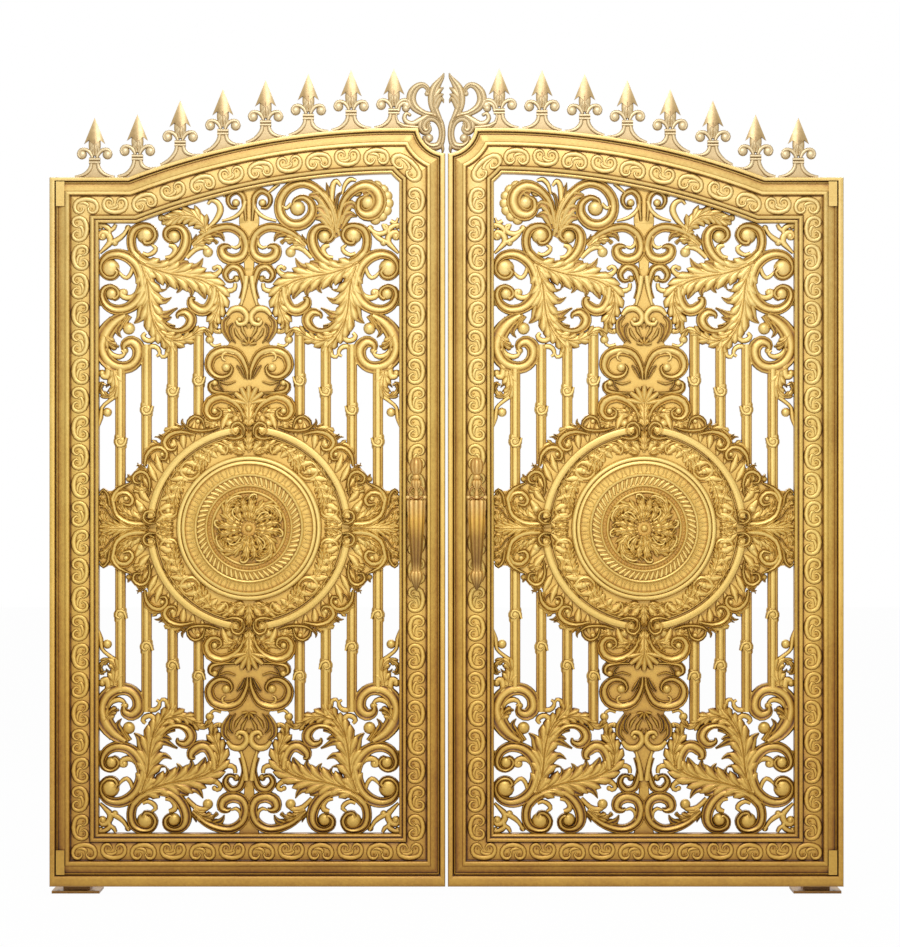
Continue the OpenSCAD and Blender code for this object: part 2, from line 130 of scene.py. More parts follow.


# cross-sections from one edge to the other: place across, height, painted brightness (painted highlights on
# the crests, glaze and painted shade in the grooves)
sections = {
    "stem": [(-1, 0.1, 0.0), (-0.93, 0.5, 0.15), (-0.79, 0.84, 0.95), (-0.66, 0.64, 0.3), (-0.5, 0.5, 0.0),
             (-0.2, 0.84, 0.7), (0.12, 1, 1), (0.4, 0.76, 0.5), (0.56, 0.5, 0.0), (0.68, 0.64, 0.4),
             (0.8, 0.82, 0.95), (0.93, 0.48, 0.15), (1, 0.1, 0.0)],
    "blade": [(-1, 0.1, 0.1), (-0.75, 0.62, 0.8), (-0.45, 0.95, 1), (-0.12, 0.5, 0.05), (0.12, 0.5, 0.05),
              (0.45, 1, 1), (0.75, 0.65, 0.8), (1, 0.1, 0.1)],
    "round": [(-1, 0.1, 0.0), (-0.88, 0.5, 0.15), (-0.64, 0.82, 0.6), (-0.3, 0.97, 0.9), (0, 1, 1),
              (0.3, 0.97, 0.9), (0.64, 0.82, 0.6), (0.88, 0.5, 0.15), (1, 0.1, 0.0)],
    "petal": [(-1, 0.1, 0.0), (-0.6, 0.66, 0.25), (0.05, 1, 1), (0.62, 0.74, 0.6), (1, 0.1, 0.0)],
    "worm": [(-1, 0.1, 0.0), (-0.82, 0.56, 0.3), (-0.4, 0.93, 0.85), (0, 1, 1), (0.4, 0.93, 0.85),
             (0.82, 0.56, 0.3), (1, 0.1, 0.0)],
    "bead": [(-1, 0, 0.1), (-0.6, 0.8, 0.7), (0, 1, 1), (0.6, 0.8, 0.7), (1, 0, 0.1)],
    "flat": [(-1, 0.2, 0.0), (-0.92, 0.7, 0.5), (-0.7, 0.97, 0.8), (0.7, 1, 0.8), (0.92, 0.75, 0.7),
             (1, 0.2, 0.0)],
    "bar": [(-1, 0.2, 0.2), (-0.92, 0.5, 0.2), (-0.62, 0.72, 0.6), (-0.5, 0.55, 0.15), (-0.34, 0.9, 0.8),
            (0, 1, 1), (0.34, 0.9, 0.8), (0.5, 0.55, 0.15), (0.62, 0.72, 0.6), (0.92, 0.5, 0.2),
            (1, 0.2, 0.1)],
}


def smooth(points, steps):
    # a curve through the points, with its widths
    p = np.asarray(points, float)
    if len(p) == 2:
        t = np.linspace(0, 1, steps + 1)[:, None]
        return p[0] * (1 - t) + p[1] * t
    pads = np.vstack([2 * p[0] - p[1], p, 2 * p[-1] - p[-2]])
    out = []
    for i in range(len(p) - 1):
        a, b, c, d = pads[i:i + 4]
        for t in np.arange(steps) / steps:
            out.append(0.5 * (2 * b + (c - a) * t + (2 * a - 5 * b + 4 * c - d) * t * t
                              + (3 * b - a - 3 * c + d) * t ** 3))
    out.append(p[-1])
    return np.array(out)


def tubeFaces(n, m):
    # n rings of m points, closed at both ends
    faces = [[i * m + j, (i + 1) * m + j, (i + 1) * m + (j + 1) % m, i * m + (j + 1) % m]
             for i in range(n - 1) for j in range(m)]
    return faces + [list(range(m)), [(n - 1) * m + j for j in reversed(range(m))]]


def turnedOver(faces):
    return [f[:1] + f[:0:-1] for f in faces]


def sweep(shape, kind, points, height, lift, steps=3):
    # lays a cross-section along a curve of (u, h, width), and again behind with fewer points
    p = smooth(points, steps)
    n = len(p)
    along = np.gradient(p[:, :2], axis=0)
    along /= np.maximum(np.linalg.norm(along, axis=1, keepdims=True), 1e-6)
    across = np.stack([-along[:, 1], along[:, 0]], axis=1)
    width = np.maximum(p[:, 2], 1.0)
    tall = height * np.clip(width / (0.55 * width.max()), 0.15, 1) ** 0.6
    rows, glow = [], []
    front = sections[kind]
    back = front if kind in ("flat", "bar") else front[:-1:3 if kind == "stem" else 2] + front[-1:]
    for side, profile in ((-1, front), (1, back[::-1])):
        # each row carries its section's painted highlight or shade along the curve
        for q, r, g in profile:
            rows.append(np.stack([p[:, 0] + across[:, 0] * q * width / 2, side * (lift + r * tall),
                                  p[:, 1] + across[:, 1] * q * width / 2], axis=1))
            glow.append(np.full(n, g))
    m = len(rows)
    grid = np.stack(rows, axis=1).reshape(-1, 3)
    shape.add(grid, tubeFaces(n, m), np.stack(glow, axis=1).reshape(-1))


def ballTemplate(around, down):
    points, faces = [(0, 0, 1)], []
    for k in range(1, down):
        a = math.pi * k / down
        turns = [2 * math.pi * i / around for i in range(around)]
        points += [(math.sin(a) * math.cos(t), math.sin(a) * math.sin(t), math.cos(a)) for t in turns]
    points.append((0, 0, -1))

    def ring(k, i):
        return 1 + (k - 1) * around + i % around

    for i in range(around):
        faces.append([0, ring(1, i), ring(1, i + 1)])
        faces.append([len(points) - 1, ring(down - 1, i + 1), ring(down - 1, i)])
    for k in range(1, down - 1):
        for i in range(around):
            faces.append([ring(k, i), ring(k + 1, i), ring(k + 1, i + 1), ring(k, i + 1)])
    return np.array(points), faces


ballPoints, ballFaces = ballTemplate(12, 7)
beadPoints, beadFaces = ballTemplate(8, 5)


def ball(shape, u, h, r, depth=None, base=0.0, small=False, paintedShine=1.0):
    points, faces = (beadPoints, beadFaces) if small else (ballPoints, ballFaces)
    scaled = points * [r, depth or r, r] + [u, base, h]
    paintedLightFacing = np.clip(-points[:, 1] * 0.6 + points[:, 2] * 0.4 + 0.4, 0, 1)  # painted highlight in front and above, painted shade behind and below
    shape.add(scaled, faces, paintedShine * (0.35 + 0.65 * paintedLightFacing))


# a lobe's shares: along it, out from the rib, and its width at its root, middle and belly
lobe = {"along": (0.42, 0.77, 0.96), "out": (0.05, 0.36, 0.86), "width": (0.22, 0.6)}


def acanthus(shape, points, height, lift, pitch=40, reach=1.2, spread=1.42):
    # a leaf of pointed lobes that overlap along both sides of a rib
    p = smooth(points, 8)
    along = np.gradient(p[:, :2], axis=0)
    step = np.linalg.norm(np.diff(p[:, :2], axis=0), axis=1)
    travel = np.concatenate([[0], np.cumsum(step)])
    total = travel[-1]
    along /= np.maximum(np.linalg.norm(along, axis=1, keepdims=True), 1e-6)
    across = np.stack([-along[:, 1], along[:, 0]], axis=1)

    def at(s, side, share):
        s = min(max(s, 0), total)
        c = [np.interp(s, travel, p[:, k]) for k in range(3)]
        n = [np.interp(s, travel, across[:, k]) for k in range(2)]
        return c[0] + n[0] * side * share * c[2] / 2, c[1] + n[1] * side * share * c[2] / 2, c[2]

    sweep(shape, "round", [(a, b, w * 0.98) for a, b, w in points], height * 0.72, lift, steps=3)
    count = max(3, int(total / pitch))
    for k in reversed(range(count)):
        start = total * 0.95 * k / count
        for side in (1, -1):
            a, b, w = at(start, side, lobe["out"][0])
            length = max(reach * w, pitch * 1.15)
            c, d, v = at(start + length * lobe["along"][0], side, lobe["out"][1])
            e, f = at(start + length * lobe["along"][1], side, lobe["out"][2])[:2]
            g, h = at(start + length * lobe["along"][2], side, spread)[:2]
            thick = min(0.95 * pitch, 0.66 * v) + 2
            root, middle = lobe["width"]
            sweep(shape, "petal", [(a, b, thick * root), (c, d, thick * middle), (e, f, thick), (g, h, 3)],
                  height * (0.88 + 0.12 * (k % 2)), lift, steps=2 if pitch > 25 else 1)
    sweep(shape, "petal", [(a, b, max(3.0, w * 0.13)) for a, b, w in points], height, lift + 1, steps=3)


# frame of a leaf: profile lines from the outer edge to the opening
keyLines = {
    "hinge": [0, 21, 60, 77, 152, 184], "meeting": [0, 19, 56, 69, 146, 173],
    "top": [0, 14, 53, 68, 143, 171], "bottom": [0, 41, 79, 97, 167, 199],
}
moulding = [  # place from the hinge edge, half depth, painted brightness (painted highlights on the rounds, glaze and painted shade in the grooves)
    (0, 28, 0.2), (0.4, 35, 0.5), (2.5, 39, 0.9), (7, 40, 1), (15, 40, 1), (19, 39, 0.9), (21, 35, 0.4),
    (22, 27, 0),
    (24, 26, 0), (25.5, 30, 0.5), (28, 31.5, 0.9), (30.5, 29, 0.4), (31.5, 25, 0), (34, 25.5, 0.2),
    (45, 29, 0.42),
    (56, 33, 0.5), (59, 34.5, 0.3), (60.5, 38, 0.9), (66, 40, 1), (72, 39.5, 1), (75.5, 36, 0.5), (77, 28, 0),
    (80, 26, 0.1), (84, 27, 0.5), (115, 28, 0.7), (146, 27, 0.5), (150, 26, 0.1), (152.5, 29, 0.1),
    (154, 36, 0.8),
    (158, 38.5, 1), (163, 38, 1), (167, 35, 0.6), (169, 30.5, 0), (171, 30, 0), (173, 33, 0.5),
    (177, 34, 0.9),
    (181, 32, 0.6), (184, 27, 0.3), (184, 8, 0.1),
]
mouldingTop = 34


def lineAt(s):
    return [float(np.interp(s, keyLines["hinge"], keyLines[k])) for k in ("hinge", "meeting", "top",
                                                                          "bottom")]


def onScoop(u, t):
    return scoopZ - math.sqrt((frameSizes["scoop"] + t) ** 2 - (scoopX - u) ** 2)


def topLine(s, archSteps=44, scoopSteps=14):
    # the top rail's line: level shoulder, arch, then the hollow corner
    h, m, t = lineAt(s)[:3]
    r, q = archR - t, frameSizes["scoop"] + t
    level = leaf["height"] - t
    shoulder = archX - math.sqrt(r * r - (level - archZ) ** 2)
    points = [(h, level), (h * 0.5 + shoulder * 0.5, level), (shoulder, level)]
    dx, dz = scoopX - archX, scoopZ - archZ
    d = math.hypot(dx, dz)
    a = (r * r - q * q + d * d) / (2 * d)
    w = math.sqrt(max(r * r - a * a, 0))
    meetU = archX + a * dx / d - w * dz / d
    meetZ = archZ + a * dz / d + w * dx / d
    start = math.atan2(level - archZ, shoulder - archX)
    stop = math.atan2(meetZ - archZ, meetU - archX)
    for k in range(1, archSteps + 1):
        g = start + (stop - start) * k / archSteps
        points.append((archX + r * math.cos(g), archZ + r * math.sin(g)))
    endU = leaf["width"] - m
    start = math.atan2(meetZ - scoopZ, meetU - scoopX)
    start += 2 * math.pi if start < 0 else 0
    stop = math.atan2(onScoop(endU, t) - scoopZ, endU - scoopX) + 2 * math.pi
    for k in range(1, scoopSteps + 1):
        g = start + (stop - start) * k / scoopSteps
        points.append((scoopX + q * math.cos(g), scoopZ + q * math.sin(g)))
    return points


def memberLine(member, s):
    h, m, t, b = lineAt(s)
    endU = leaf["width"] - m
    if member == "hinge_stile":
        ends = [(h, b), (h, leaf["height"] - t)]
    elif member == "meeting_stile":
        ends = [(endU, onScoop(endU, t)), (endU, b)]
    elif member == "bottom_rail":
        ends = [(endU, b), (h, b)]
    else:
        return topLine(s)
    return [tuple(np.array(ends[0]) * (1 - k / 8) + np.array(ends[1]) * k / 8) for k in range(9)]


def frameMember(member):
    shape = Shape()
    lines = [(memberLine(member, s), -y, g) for s, y, g in moulding]
    lines += [(memberLine(member, s), y, g) for s, y, g in reversed(moulding)]
    n, m = len(lines[0][0]), len(lines)
    grid = [(line[i][0], y, line[i][1]) for i in range(n) for line, y, g in lines]
    glow = [g if abs(y) < mouldingTop else 0.55 * g for line, y, g in lines]  # the top faces catch less light
    shape.add(grid, turnedOver(tubeFaces(n, m)), glow * n)
    return shape


# the kidney scrolls along the band
kidney = {
    "scroll": [(14, -4, 6), (8, -14, 10), (18, -26, 14), (35, -24, 17), (43, -6, 19), (33, 16, 21),
               (0, 25, 23), (-33, 16, 21), (-43, -6, 19), (-35, -24, 17), (-18, -26, 14), (-8, -14, 10),
               (-14, -4, 6)],
    "leaf": [(-26, 8, 7), (-10, 11, 15), (8, 3, 15), (3, -10, 4)],
    "height": 9, "lift": 25, "paintedShine": 0.85,
}


def kidneyShape():
    shape = Shape()
    sweep(shape, "worm", kidney["scroll"], kidney["height"], kidney["lift"], steps=2)
    sweep(shape, "worm", kidney["leaf"], kidney["height"] * 0.8, kidney["lift"], steps=2)
    for x in (-23, 23):
        ball(shape, x, -11, 9, kidney["lift"] + 10, small=True)
    # the kidneys' painted highlights and shade, turned down
    shape.glow = [g * kidney["paintedShine"] for g in shape.glow]
    return shape


def laid(shape, motif, u, h, angle, mirrored=False, size=1.0):
    c, d = math.cos(angle), math.sin(angle)

    def place(q):
        a, b = q[:, 0] * size, q[:, 2] * (-1 if mirrored else 1)
        return np.stack([u + a * c - b * d, q[:, 1], h + a * d + b * c], axis=1)
    shape.join(motif, place, flip=mirrored)


band = {
    # how many scrolls, their spacing and where the first stands
    "hinge_stile": (22, 107, 222), "meeting_stile": (23, 107, 222),
    "bottom_rail": (12, 111, 130), "top_rail": (11, 109, 137),
    "middle": 115, "curveStarts": 30, "corner": (1342, 2702, -0.72, False, 1.4),
}


def bandReliefs(member, shape, motif):
    count, pitch, first = band[member]
    h, m, t, b = lineAt(band["middle"])
    curved = frameSizes["shoulder"] + band["curveStarts"]
    for k in range(count):
        flip = k % 2 == 1
        if member == "hinge_stile":
            laid(shape, motif, h, first + pitch * k, math.pi / 2, flip)
        elif member == "meeting_stile":
            laid(shape, motif, leaf["width"] - m, first + pitch * k, math.pi / 2, not flip)
        elif member == "bottom_rail":
            laid(shape, motif, first + pitch * k, b, 0, flip)
        else:
            u = first + pitch * k
            level = leaf["height"] - t
            onArch = archZ + math.sqrt((archR - t) ** 2 - (u - archX) ** 2)
            angle = math.atan2(archX - u, onArch - archZ) if onArch > level or u > curved else 0
            laid(shape, motif, u, max(onArch, level) if u < curved else onArch, angle, flip)
    if member == "top_rail":  # the double scroll in the corner
        laid(shape, motif, *band["corner"])


# scrollwork of a quarter: x out from the axis, z up from the bottom rail, width
quarter = {
    "stem": {
        "cornerScroll": [(388, 255, 44), (398, 205, 45), (415, 160, 45), (445, 130, 42), (485, 115, 38),
                         (525, 122, 32), (550, 148, 24), (552, 180, 20), (530, 203, 20), (503, 203, 20),
                         (490, 184, 22), (506, 170, 26)],
        "midScroll": [(385, 200, 50), (395, 250, 48), (415, 290, 46), (450, 318, 40), (495, 325, 38),
                      (530, 308, 34), (547, 275, 28), (540, 247, 22), (515, 236, 18), (492, 248, 18),
                      (486, 268, 19), (500, 282, 20), (512, 270, 20)],
        "footScroll": [(380, 150, 30), (410, 130, 34), (432, 100, 34), (438, 60, 34), (425, 25, 34),
                       (392, 10, 28), (360, 17, 24), (347, 45, 22), (362, 70, 22), (385, 74, 22),
                       (390, 56, 24)],
        "railScroll": [(430, 110, 40), (395, 140, 36), (345, 158, 36), (295, 152, 38), (258, 125, 40),
                       (235, 85, 42), (232, 45, 38), (250, 18, 30), (280, 12, 24), (305, 25, 24),
                       (309, 50, 22), (292, 66, 20), (280, 54, 22)],
        "cupScroll": [(460, 345, 30), (505, 375, 50), (538, 420, 60), (550, 470, 56), (530, 515, 50),
                      (490, 540, 46), (445, 538, 44), (415, 510, 44), (410, 470, 48), (435, 445, 44),
                      (462, 455, 34), (466, 478, 16)],
        "axisScroll": [(205, 82, 26), (160, 42, 30), (110, 20, 34), (62, 16, 34), (22, 40, 36), (6, 85, 38),
                       (20, 124, 40), (58, 136, 42), (90, 122, 42), (96, 95, 36), (76, 86, 22),
                       (62, 92, 10)],
        "neckScroll": [(24, 285, 22), (12, 245, 24), (14, 215, 26), (30, 172, 30), (62, 163, 30),
                       (84, 190, 26), (72, 215, 18), (50, 212, 14), (44, 196, 8)],
    },
    "leaf": {
        "tallRib": [(398, 160, 50), (376, 230, 64), (368, 300, 76), (360, 350, 64), (340, 400, 48),
                    (312, 440, 40), (290, 465, 34), (285, 500, 22)],
        "wave": [(330, 400, 60), (300, 430, 50), (260, 440, 42), (220, 430, 36), (190, 410, 32),
                 (165, 400, 26), (146, 413, 20), (138, 432, 14)],
        "lowRib": [(405, 148, 56), (350, 172, 62), (290, 190, 72), (230, 200, 80), (170, 215, 68),
                   (130, 238, 58), (108, 265, 54), (106, 305, 50), (120, 345, 44), (130, 378, 36),
                   (124, 402, 22), (108, 410, 14)],
        "cupLeaf": [(540, 420, 34), (522, 445, 34), (505, 460, 22), (486, 462, 5)],
        "sprigLeaf": [(505, 555, 40), (498, 595, 44), (500, 630, 36), (520, 650, 22), (545, 640, 20),
                      (555, 620, 18), (548, 604, 14), (533, 608, 10)],
        "footLeaf": [(205, 88, 30), (165, 64, 32), (130, 62, 18), (113, 76, 4)],
    },
    "curl": {
        "rolledHead": [(330, 370, 36), (295, 400, 32), (255, 405, 28), (222, 388, 40), (212, 358, 44),
                       (235, 334, 38), (262, 343, 22), (264, 358, 8)],
        "lowHead": [(125, 240, 44), (130, 285, 44), (150, 320, 46), (180, 326, 48), (208, 306, 44),
                    (212, 284, 28), (197, 282, 10)],
    },
    "lobe": {
        "tallOuter": [[(388, 285, 46), (397, 335, 42), (408, 360, 28), (428, 376, 5)],
                      [(375, 320, 36), (378, 360, 28), (388, 385, 10)]],
        "tallInner": [[(360, 260, 40), (335, 285, 36), (310, 291, 24), (286, 277, 4)],
                      [(365, 230, 36), (345, 246, 24), (322, 252, 14), (304, 247, 4)],
                      [(350, 320, 40), (325, 345, 38), (300, 338, 24), (280, 326, 14), (264, 318, 8)],
                      [(345, 345, 34), (312, 360, 28), (286, 352, 6)],
                      [(340, 365, 38), (305, 384, 28), (272, 385, 8)],
                      [(345, 178, 18), (315, 203, 26), (298, 228, 20), (308, 247, 4)]],
        "lowUpper": [[(290, 195, 38), (262, 225, 32), (255, 246, 22), (268, 262, 4)],
                     [(250, 205, 40), (226, 235, 34), (210, 258, 24), (216, 273, 6)],
                     [(205, 205, 42), (182, 240, 38), (165, 268, 26), (160, 285, 6)]],
        "lowLower": [[(260, 185, 48), (215, 173, 42), (185, 160, 28), (168, 130, 4)],
                     [(300, 170, 48), (255, 155, 40), (222, 143, 8)]],
        "cupFingers": [[(455, 345, 30), (477, 380, 30), (490, 408, 22), (474, 430, 4)],
                       [(445, 345, 26), (465, 375, 24), (470, 394, 18)],
                       [(505, 365, 20), (520, 351, 4)]],
        "footFingers": [[(205, 72, 22), (193, 40, 4)], [(130, 35, 28), (100, 45, 24), (88, 68, 5)],
                        [(165, 55, 20), (140, 48, 14), (115, 52, 4)]],
        "sprigTips": [[(508, 600, 16), (524, 606, 12), (533, 618, 3)],
                      [(506, 620, 14), (520, 626, 10), (528, 634, 3)]],
    },
    "round": {
        "cornerHook": [(432, 165, 14), (440, 190, 16), (455, 205, 16), (472, 197, 14), (484, 182, 8)],
        "midHook": [(415, 255, 14), (430, 275, 20), (455, 280, 22), (475, 270, 20), (474, 255, 18),
                    (460, 254, 14)],
        "footHook": [(395, 112, 14), (375, 119, 16), (353, 108, 18), (346, 92, 16), (360, 82, 10)],
        "railHook": [(310, 128, 12), (288, 125, 18), (272, 105, 22), (277, 88, 22), (296, 82, 14)],
        "tallHook": [(362, 350, 40), (358, 395, 34), (350, 424, 26), (364, 441, 20), (385, 437, 20),
                     (394, 423, 18), (384, 412, 12)],
        "waveLink": [(140, 450, 12), (125, 462, 12), (100, 455, 12)],
        "outerLink": [(400, 530, 14), (388, 485, 18), (362, 462, 20), (338, 470, 18), (331, 490, 14),
                      (343, 500, 10)],
        "innerLink": [(292, 455, 22), (302, 480, 18), (306, 497, 16), (322, 502, 14), (330, 488, 8)],
        "cupArm": [(530, 470, 20), (512, 493, 20), (483, 502, 20), (463, 490, 14), (474, 478, 10)],
        "sprigFoot": [(530, 515, 22), (522, 550, 28), (530, 577, 26), (550, 572, 18)],
        "sprigTail": [(500, 652, 16), (527, 672, 14), (548, 693, 14), (553, 730, 18), (562, 768, 6)],
        "lowHook": [(205, 193, 34), (150, 198, 24), (115, 190, 20), (102, 172, 18), (115, 162, 16),
                    (128, 170, 10)],
        "columnLink": [(122, 215, 22), (100, 240, 20), (75, 254, 20), (50, 246, 18), (47, 225, 14)],
        "footCurl": [(230, 130, 16), (198, 98, 20), (168, 88, 22), (150, 98, 20)],
        "axisHook": [(28, 48, 8), (28, 78, 14), (45, 92, 14), (62, 86, 8)],
        "fleurStem": [(556, 112, 10), (532, 88, 18), (516, 68, 24), (524, 42, 24), (547, 32, 20),
                      (558, 46, 16), (548, 60, 12)],
        "fleurLink": [(518, 72, 14), (491, 62, 20), (465, 41, 16), (447, 9, 12)],
        "fleurCurl": [(562, 6, 16), (540, 8, 20), (518, 24, 20), (526, 44, 14)],
        "fleurFoot": [(496, 3, 12), (504, 18, 16), (518, 28, 14)],
    },
    "balls": [(517, 168, 30), (512, 265, 20), (465, 260, 13), (385, 45, 28), (278, 50, 22), (143, 437, 14),
              (447, 395, 20), (548, 564, 13), (528, 710, 15), (106, 405, 10), (125, 168, 9), (150, 108, 17),
              (546, 48, 14), (500, 72, 12), (553, 10, 11), (450, 18, 11), (552, 300, 10), (462, 478, 12),
              (44, 208, 12)],
    "lift": {"stem": 6, "leaf": 7, "lobe": 5, "round": 5},
    "height": {"stem": 13, "leaf": 13, "lobe": 11, "round": 9},
    "fuller": 1.1,
}


def quarterShape():
    shape = Shape()
    for family in ("stem", "round"):
        for points in quarter[family].values():
            points = [(x, z, w * quarter["fuller"]) for x, z, w in points]
            sweep(shape, family, points, quarter["height"][family], quarter["lift"][family],
                  steps=3 if family == "stem" else 2)
    for points in quarter["leaf"].values():
        acanthus(shape, points, quarter["height"]["leaf"], quarter["lift"]["leaf"])
    for points in quarter["curl"].values():
        sweep(shape, "stem", points, quarter["height"]["leaf"], quarter["lift"]["leaf"] + 1)
    for fingers in quarter["lobe"].values():
        for points in fingers:
            sweep(shape, "blade", points, quarter["height"]["lobe"], quarter["lift"]["lobe"], steps=2)
    for x, z, r in quarter["balls"]:
        ball(shape, x, z, r * 1.2, min(20, r * 0.9 + 4), small=r < 14)
    return shape


# what fills the arch above the upper scrollwork, in u and h
archParts = {
    "stem": [
        [(1076, 2455, 20), (1062, 2540, 32), (1015, 2610, 36), (955, 2642, 38), (898, 2625, 40),
         (864, 2575, 42), (868, 2520, 44), (905, 2487, 46), (952, 2490, 46), (984, 2525, 42),
         (982, 2565, 34), (952, 2588, 26), (922, 2580, 20), (912, 2562, 14)],
        [(1082, 2480, 22), (1100, 2565, 32), (1140, 2615, 40), (1188, 2632, 50), (1228, 2608, 56),
         (1238, 2568, 58), (1218, 2532, 58), (1184, 2524, 48), (1160, 2545, 34), (1162, 2578, 24),
         (1182, 2592, 14)],
        [(760, 2500, 14), (764, 2550, 22), (768, 2590, 28), (792, 2612, 28), (820, 2600, 24),
         (828, 2574, 20), (814, 2550, 16), (792, 2550, 12)],
    ],
    "round": [
        [(872, 2556, 10), (888, 2548, 16), (906, 2566, 14)],
        [(850, 2500, 10), (806, 2513, 16), (774, 2540, 18), (762, 2575, 18)],
        [(1064, 2470, 14), (1058, 2560, 22), (1062, 2630, 24), (1076, 2650, 20), (1092, 2632, 12)],
        [(1098, 2600, 10), (1108, 2636, 18), (1128, 2656, 20), (1150, 2652, 12)],
        [(1196, 2475, 16), (1228, 2452, 22), (1260, 2458, 22), (1266, 2480, 16), (1248, 2486, 10)],
        [(1280, 2500, 18), (1298, 2492, 18), (1308, 2512, 8)],
        [(820, 2606, 10), (838, 2622, 14), (860, 2640, 14)],
    ],
    "leaf": [[(1074, 2470, 30), (1052, 2545, 42), (1018, 2592, 40), (972, 2596, 8)],
             [(1078, 2455, 24), (1050, 2512, 40), (1020, 2545, 34), (998, 2546, 14)],
             [(1082, 2440, 24), (1052, 2490, 38), (1022, 2514, 30), (986, 2508, 5)],
             [(1086, 2490, 24), (1104, 2545, 32), (1134, 2562, 26), (1150, 2545, 8)],
             [(1090, 2470, 20), (1108, 2512, 30), (1130, 2524, 22), (1154, 2516, 4)]],
    "blade": [[(1058, 2540, 14), (1046, 2610, 20), (1038, 2645, 4)],
              [(1068, 2520, 14), (1080, 2590, 16), (1096, 2608, 10)],
              [(1176, 2600, 30), (1206, 2610, 26), (1222, 2586, 8)]],
    "balls": [(930, 2548, 30), (1194, 2568, 28), (798, 2568, 16)],
    "frill": {"centre": (1204, 2570), "radius": 66, "span": (140, -74), "count": 10, "size": 22},
    "feather": [(592, 2440, 24), (572, 2490, 48), (534, 2518, 60), (488, 2520, 50), (452, 2506, 36),
                (424, 2502, 26)],
    "hook": [(588, 2470, 10), (622, 2502, 22), (640, 2540, 26), (630, 2568, 24), (606, 2578, 18),
             (592, 2562, 10)],
    # out from the column's axis on the hinge side
    "link": [(-822, 2604, 10), (-842, 2606, 16)], "linkEnd": (656, 2590, 10),
    "mirroredBall": (798, 2568, 16, 18), "featherBall": (418, 2512, 14, 15),
    "relief": {"stem": (13, 6), "round": (10, 5), "feather": (12, 7), "blade": (11, 6), "mirrored": (12, 6),
               "link": (8, 5)},
    "leafFull": 1.35, "featherPitch": 26, "ballDepth": 20, "frillDepth": 12,
}


def archShape():
    shape = Shape()
    relief = archParts["relief"]
    for points in archParts["stem"]:
        sweep(shape, "stem", points, *relief["stem"])
    for points in archParts["round"] + [archParts["hook"]]:
        sweep(shape, "round", points, *relief["round"])
    acanthus(shape, archParts["feather"], *relief["feather"], pitch=archParts["featherPitch"])
    leaves = [[(u, h, w * archParts["leafFull"]) for u, h, w in points] for points in archParts["leaf"]]
    for points in archParts["blade"] + leaves:
        sweep(shape, "blade", points, *relief["blade"])
    for u, h, r in archParts["balls"]:
        ball(shape, u, h, r, archParts["ballDepth"])
    mirrored = [archParts["stem"][2], archParts["round"][1]]
    for kind, points in zip(("stem", "round"), mirrored):
        sweep(shape, kind, [(2 * midU - u, h, w) for u, h, w in points], *relief["mirrored"])
    u, h, r, depth = archParts["mirroredBall"]
    ball(shape, 2 * midU - u, h, r, depth)
    link = [(2 * midU + u, h, w) for u, h, w in archParts["link"]]
    sweep(shape, "round", link + [archParts["linkEnd"]], *relief["link"])
    ball(shape, *archParts["featherBall"])
    frill = archParts["frill"]
    u, h = frill["centre"]
    for a in np.radians(np.linspace(*frill["span"], frill["count"])):
        ball(shape, u + frill["radius"] * math.cos(a), h + frill["radius"] * math.sin(a), frill["size"],
             archParts["frillDepth"])
    return shape


# the column between the two halves: c from its axis, d from the medallion's centre, width
columnParts = {
    "edge": [(165, 470), (150, 500), (140, 512), (148, 540), (132, 558), (152, 600), (154, 630), (140, 655),
             (104, 676), (80, 694), (88, 712), (100, 745), (102, 770), (90, 800), (56, 830), (38, 850),
             (28, 880), (24, 920), (23, 950), (23, 985), (25, 1018), (21, 1050), (19, 1070), (27, 1100),
             (38, 1130), (42, 1146)],
    "stem": [[(6, 560, 12), (10, 600, 26), (38, 652, 38), (88, 668, 42), (134, 652, 42), (150, 615, 38),
              (138, 584, 32), (108, 568, 28), (76, 576, 22), (64, 600, 16), (74, 616, 10)],
             [(45, 508, 10), (98, 508, 18), (138, 516, 26), (146, 540, 22), (128, 552, 14), (116, 542, 9)],
             ],
    "round": [[(30, 838, 10), (22, 870, 18), (14, 910, 22), (10, 948, 24)]],
    "fans": [(468, 66, 7, 22), (690, 28, 5, 12)],  # where, reach, lobes, lobe width
    "horn": [(82, 800, 16), (62, 822, 26), (30, 824, 28), (8, 800, 26), (14, 772, 24), (38, 766, 20),
             (48, 780, 14)],
    "side": [[(74, 796, 12), (94, 776, 24), (92, 740, 26), (70, 700, 12)],
             [(60, 770, 10), (74, 752, 20), (70, 722, 18), (50, 696, 6)],
             [(46, 612, 8), (30, 592, 20), (16, 562, 6)], [(96, 520, 8), (112, 536, 16), (116, 560, 4)]],
    "lobes": [[(8, 716, 6), (24, 742, 16), (28, 764, 8)], [(26, 704, 6), (46, 728, 16), (54, 752, 8)],
              [(6, 752, 6), (10, 780, 14), (4, 806, 6)], [(50, 552, 6), (82, 542, 12), (112, 552, 6)]],
    "hook": [(58, 654, 8), (80, 664, 15), (99, 652, 15), (99, 636, 11), (88, 630, 8)],
    "balls": [(86, 604, 20), (129, 546, 15), (36, 784, 13)],
    "inset": 4, "thick": 12.2, "ballDepth": 27,
    # height of each carving and how far out it starts
    "relief": {"fan": (13, 12), "stem": (13, 11), "horn": (14, 11), "round": (10, 11), "lobe": (11, 12),
               "side": (11, 12)},
    "head": [(38, 1168), (25, 1195), (21, 1225), (38, 1258), (54, 1290)],
}


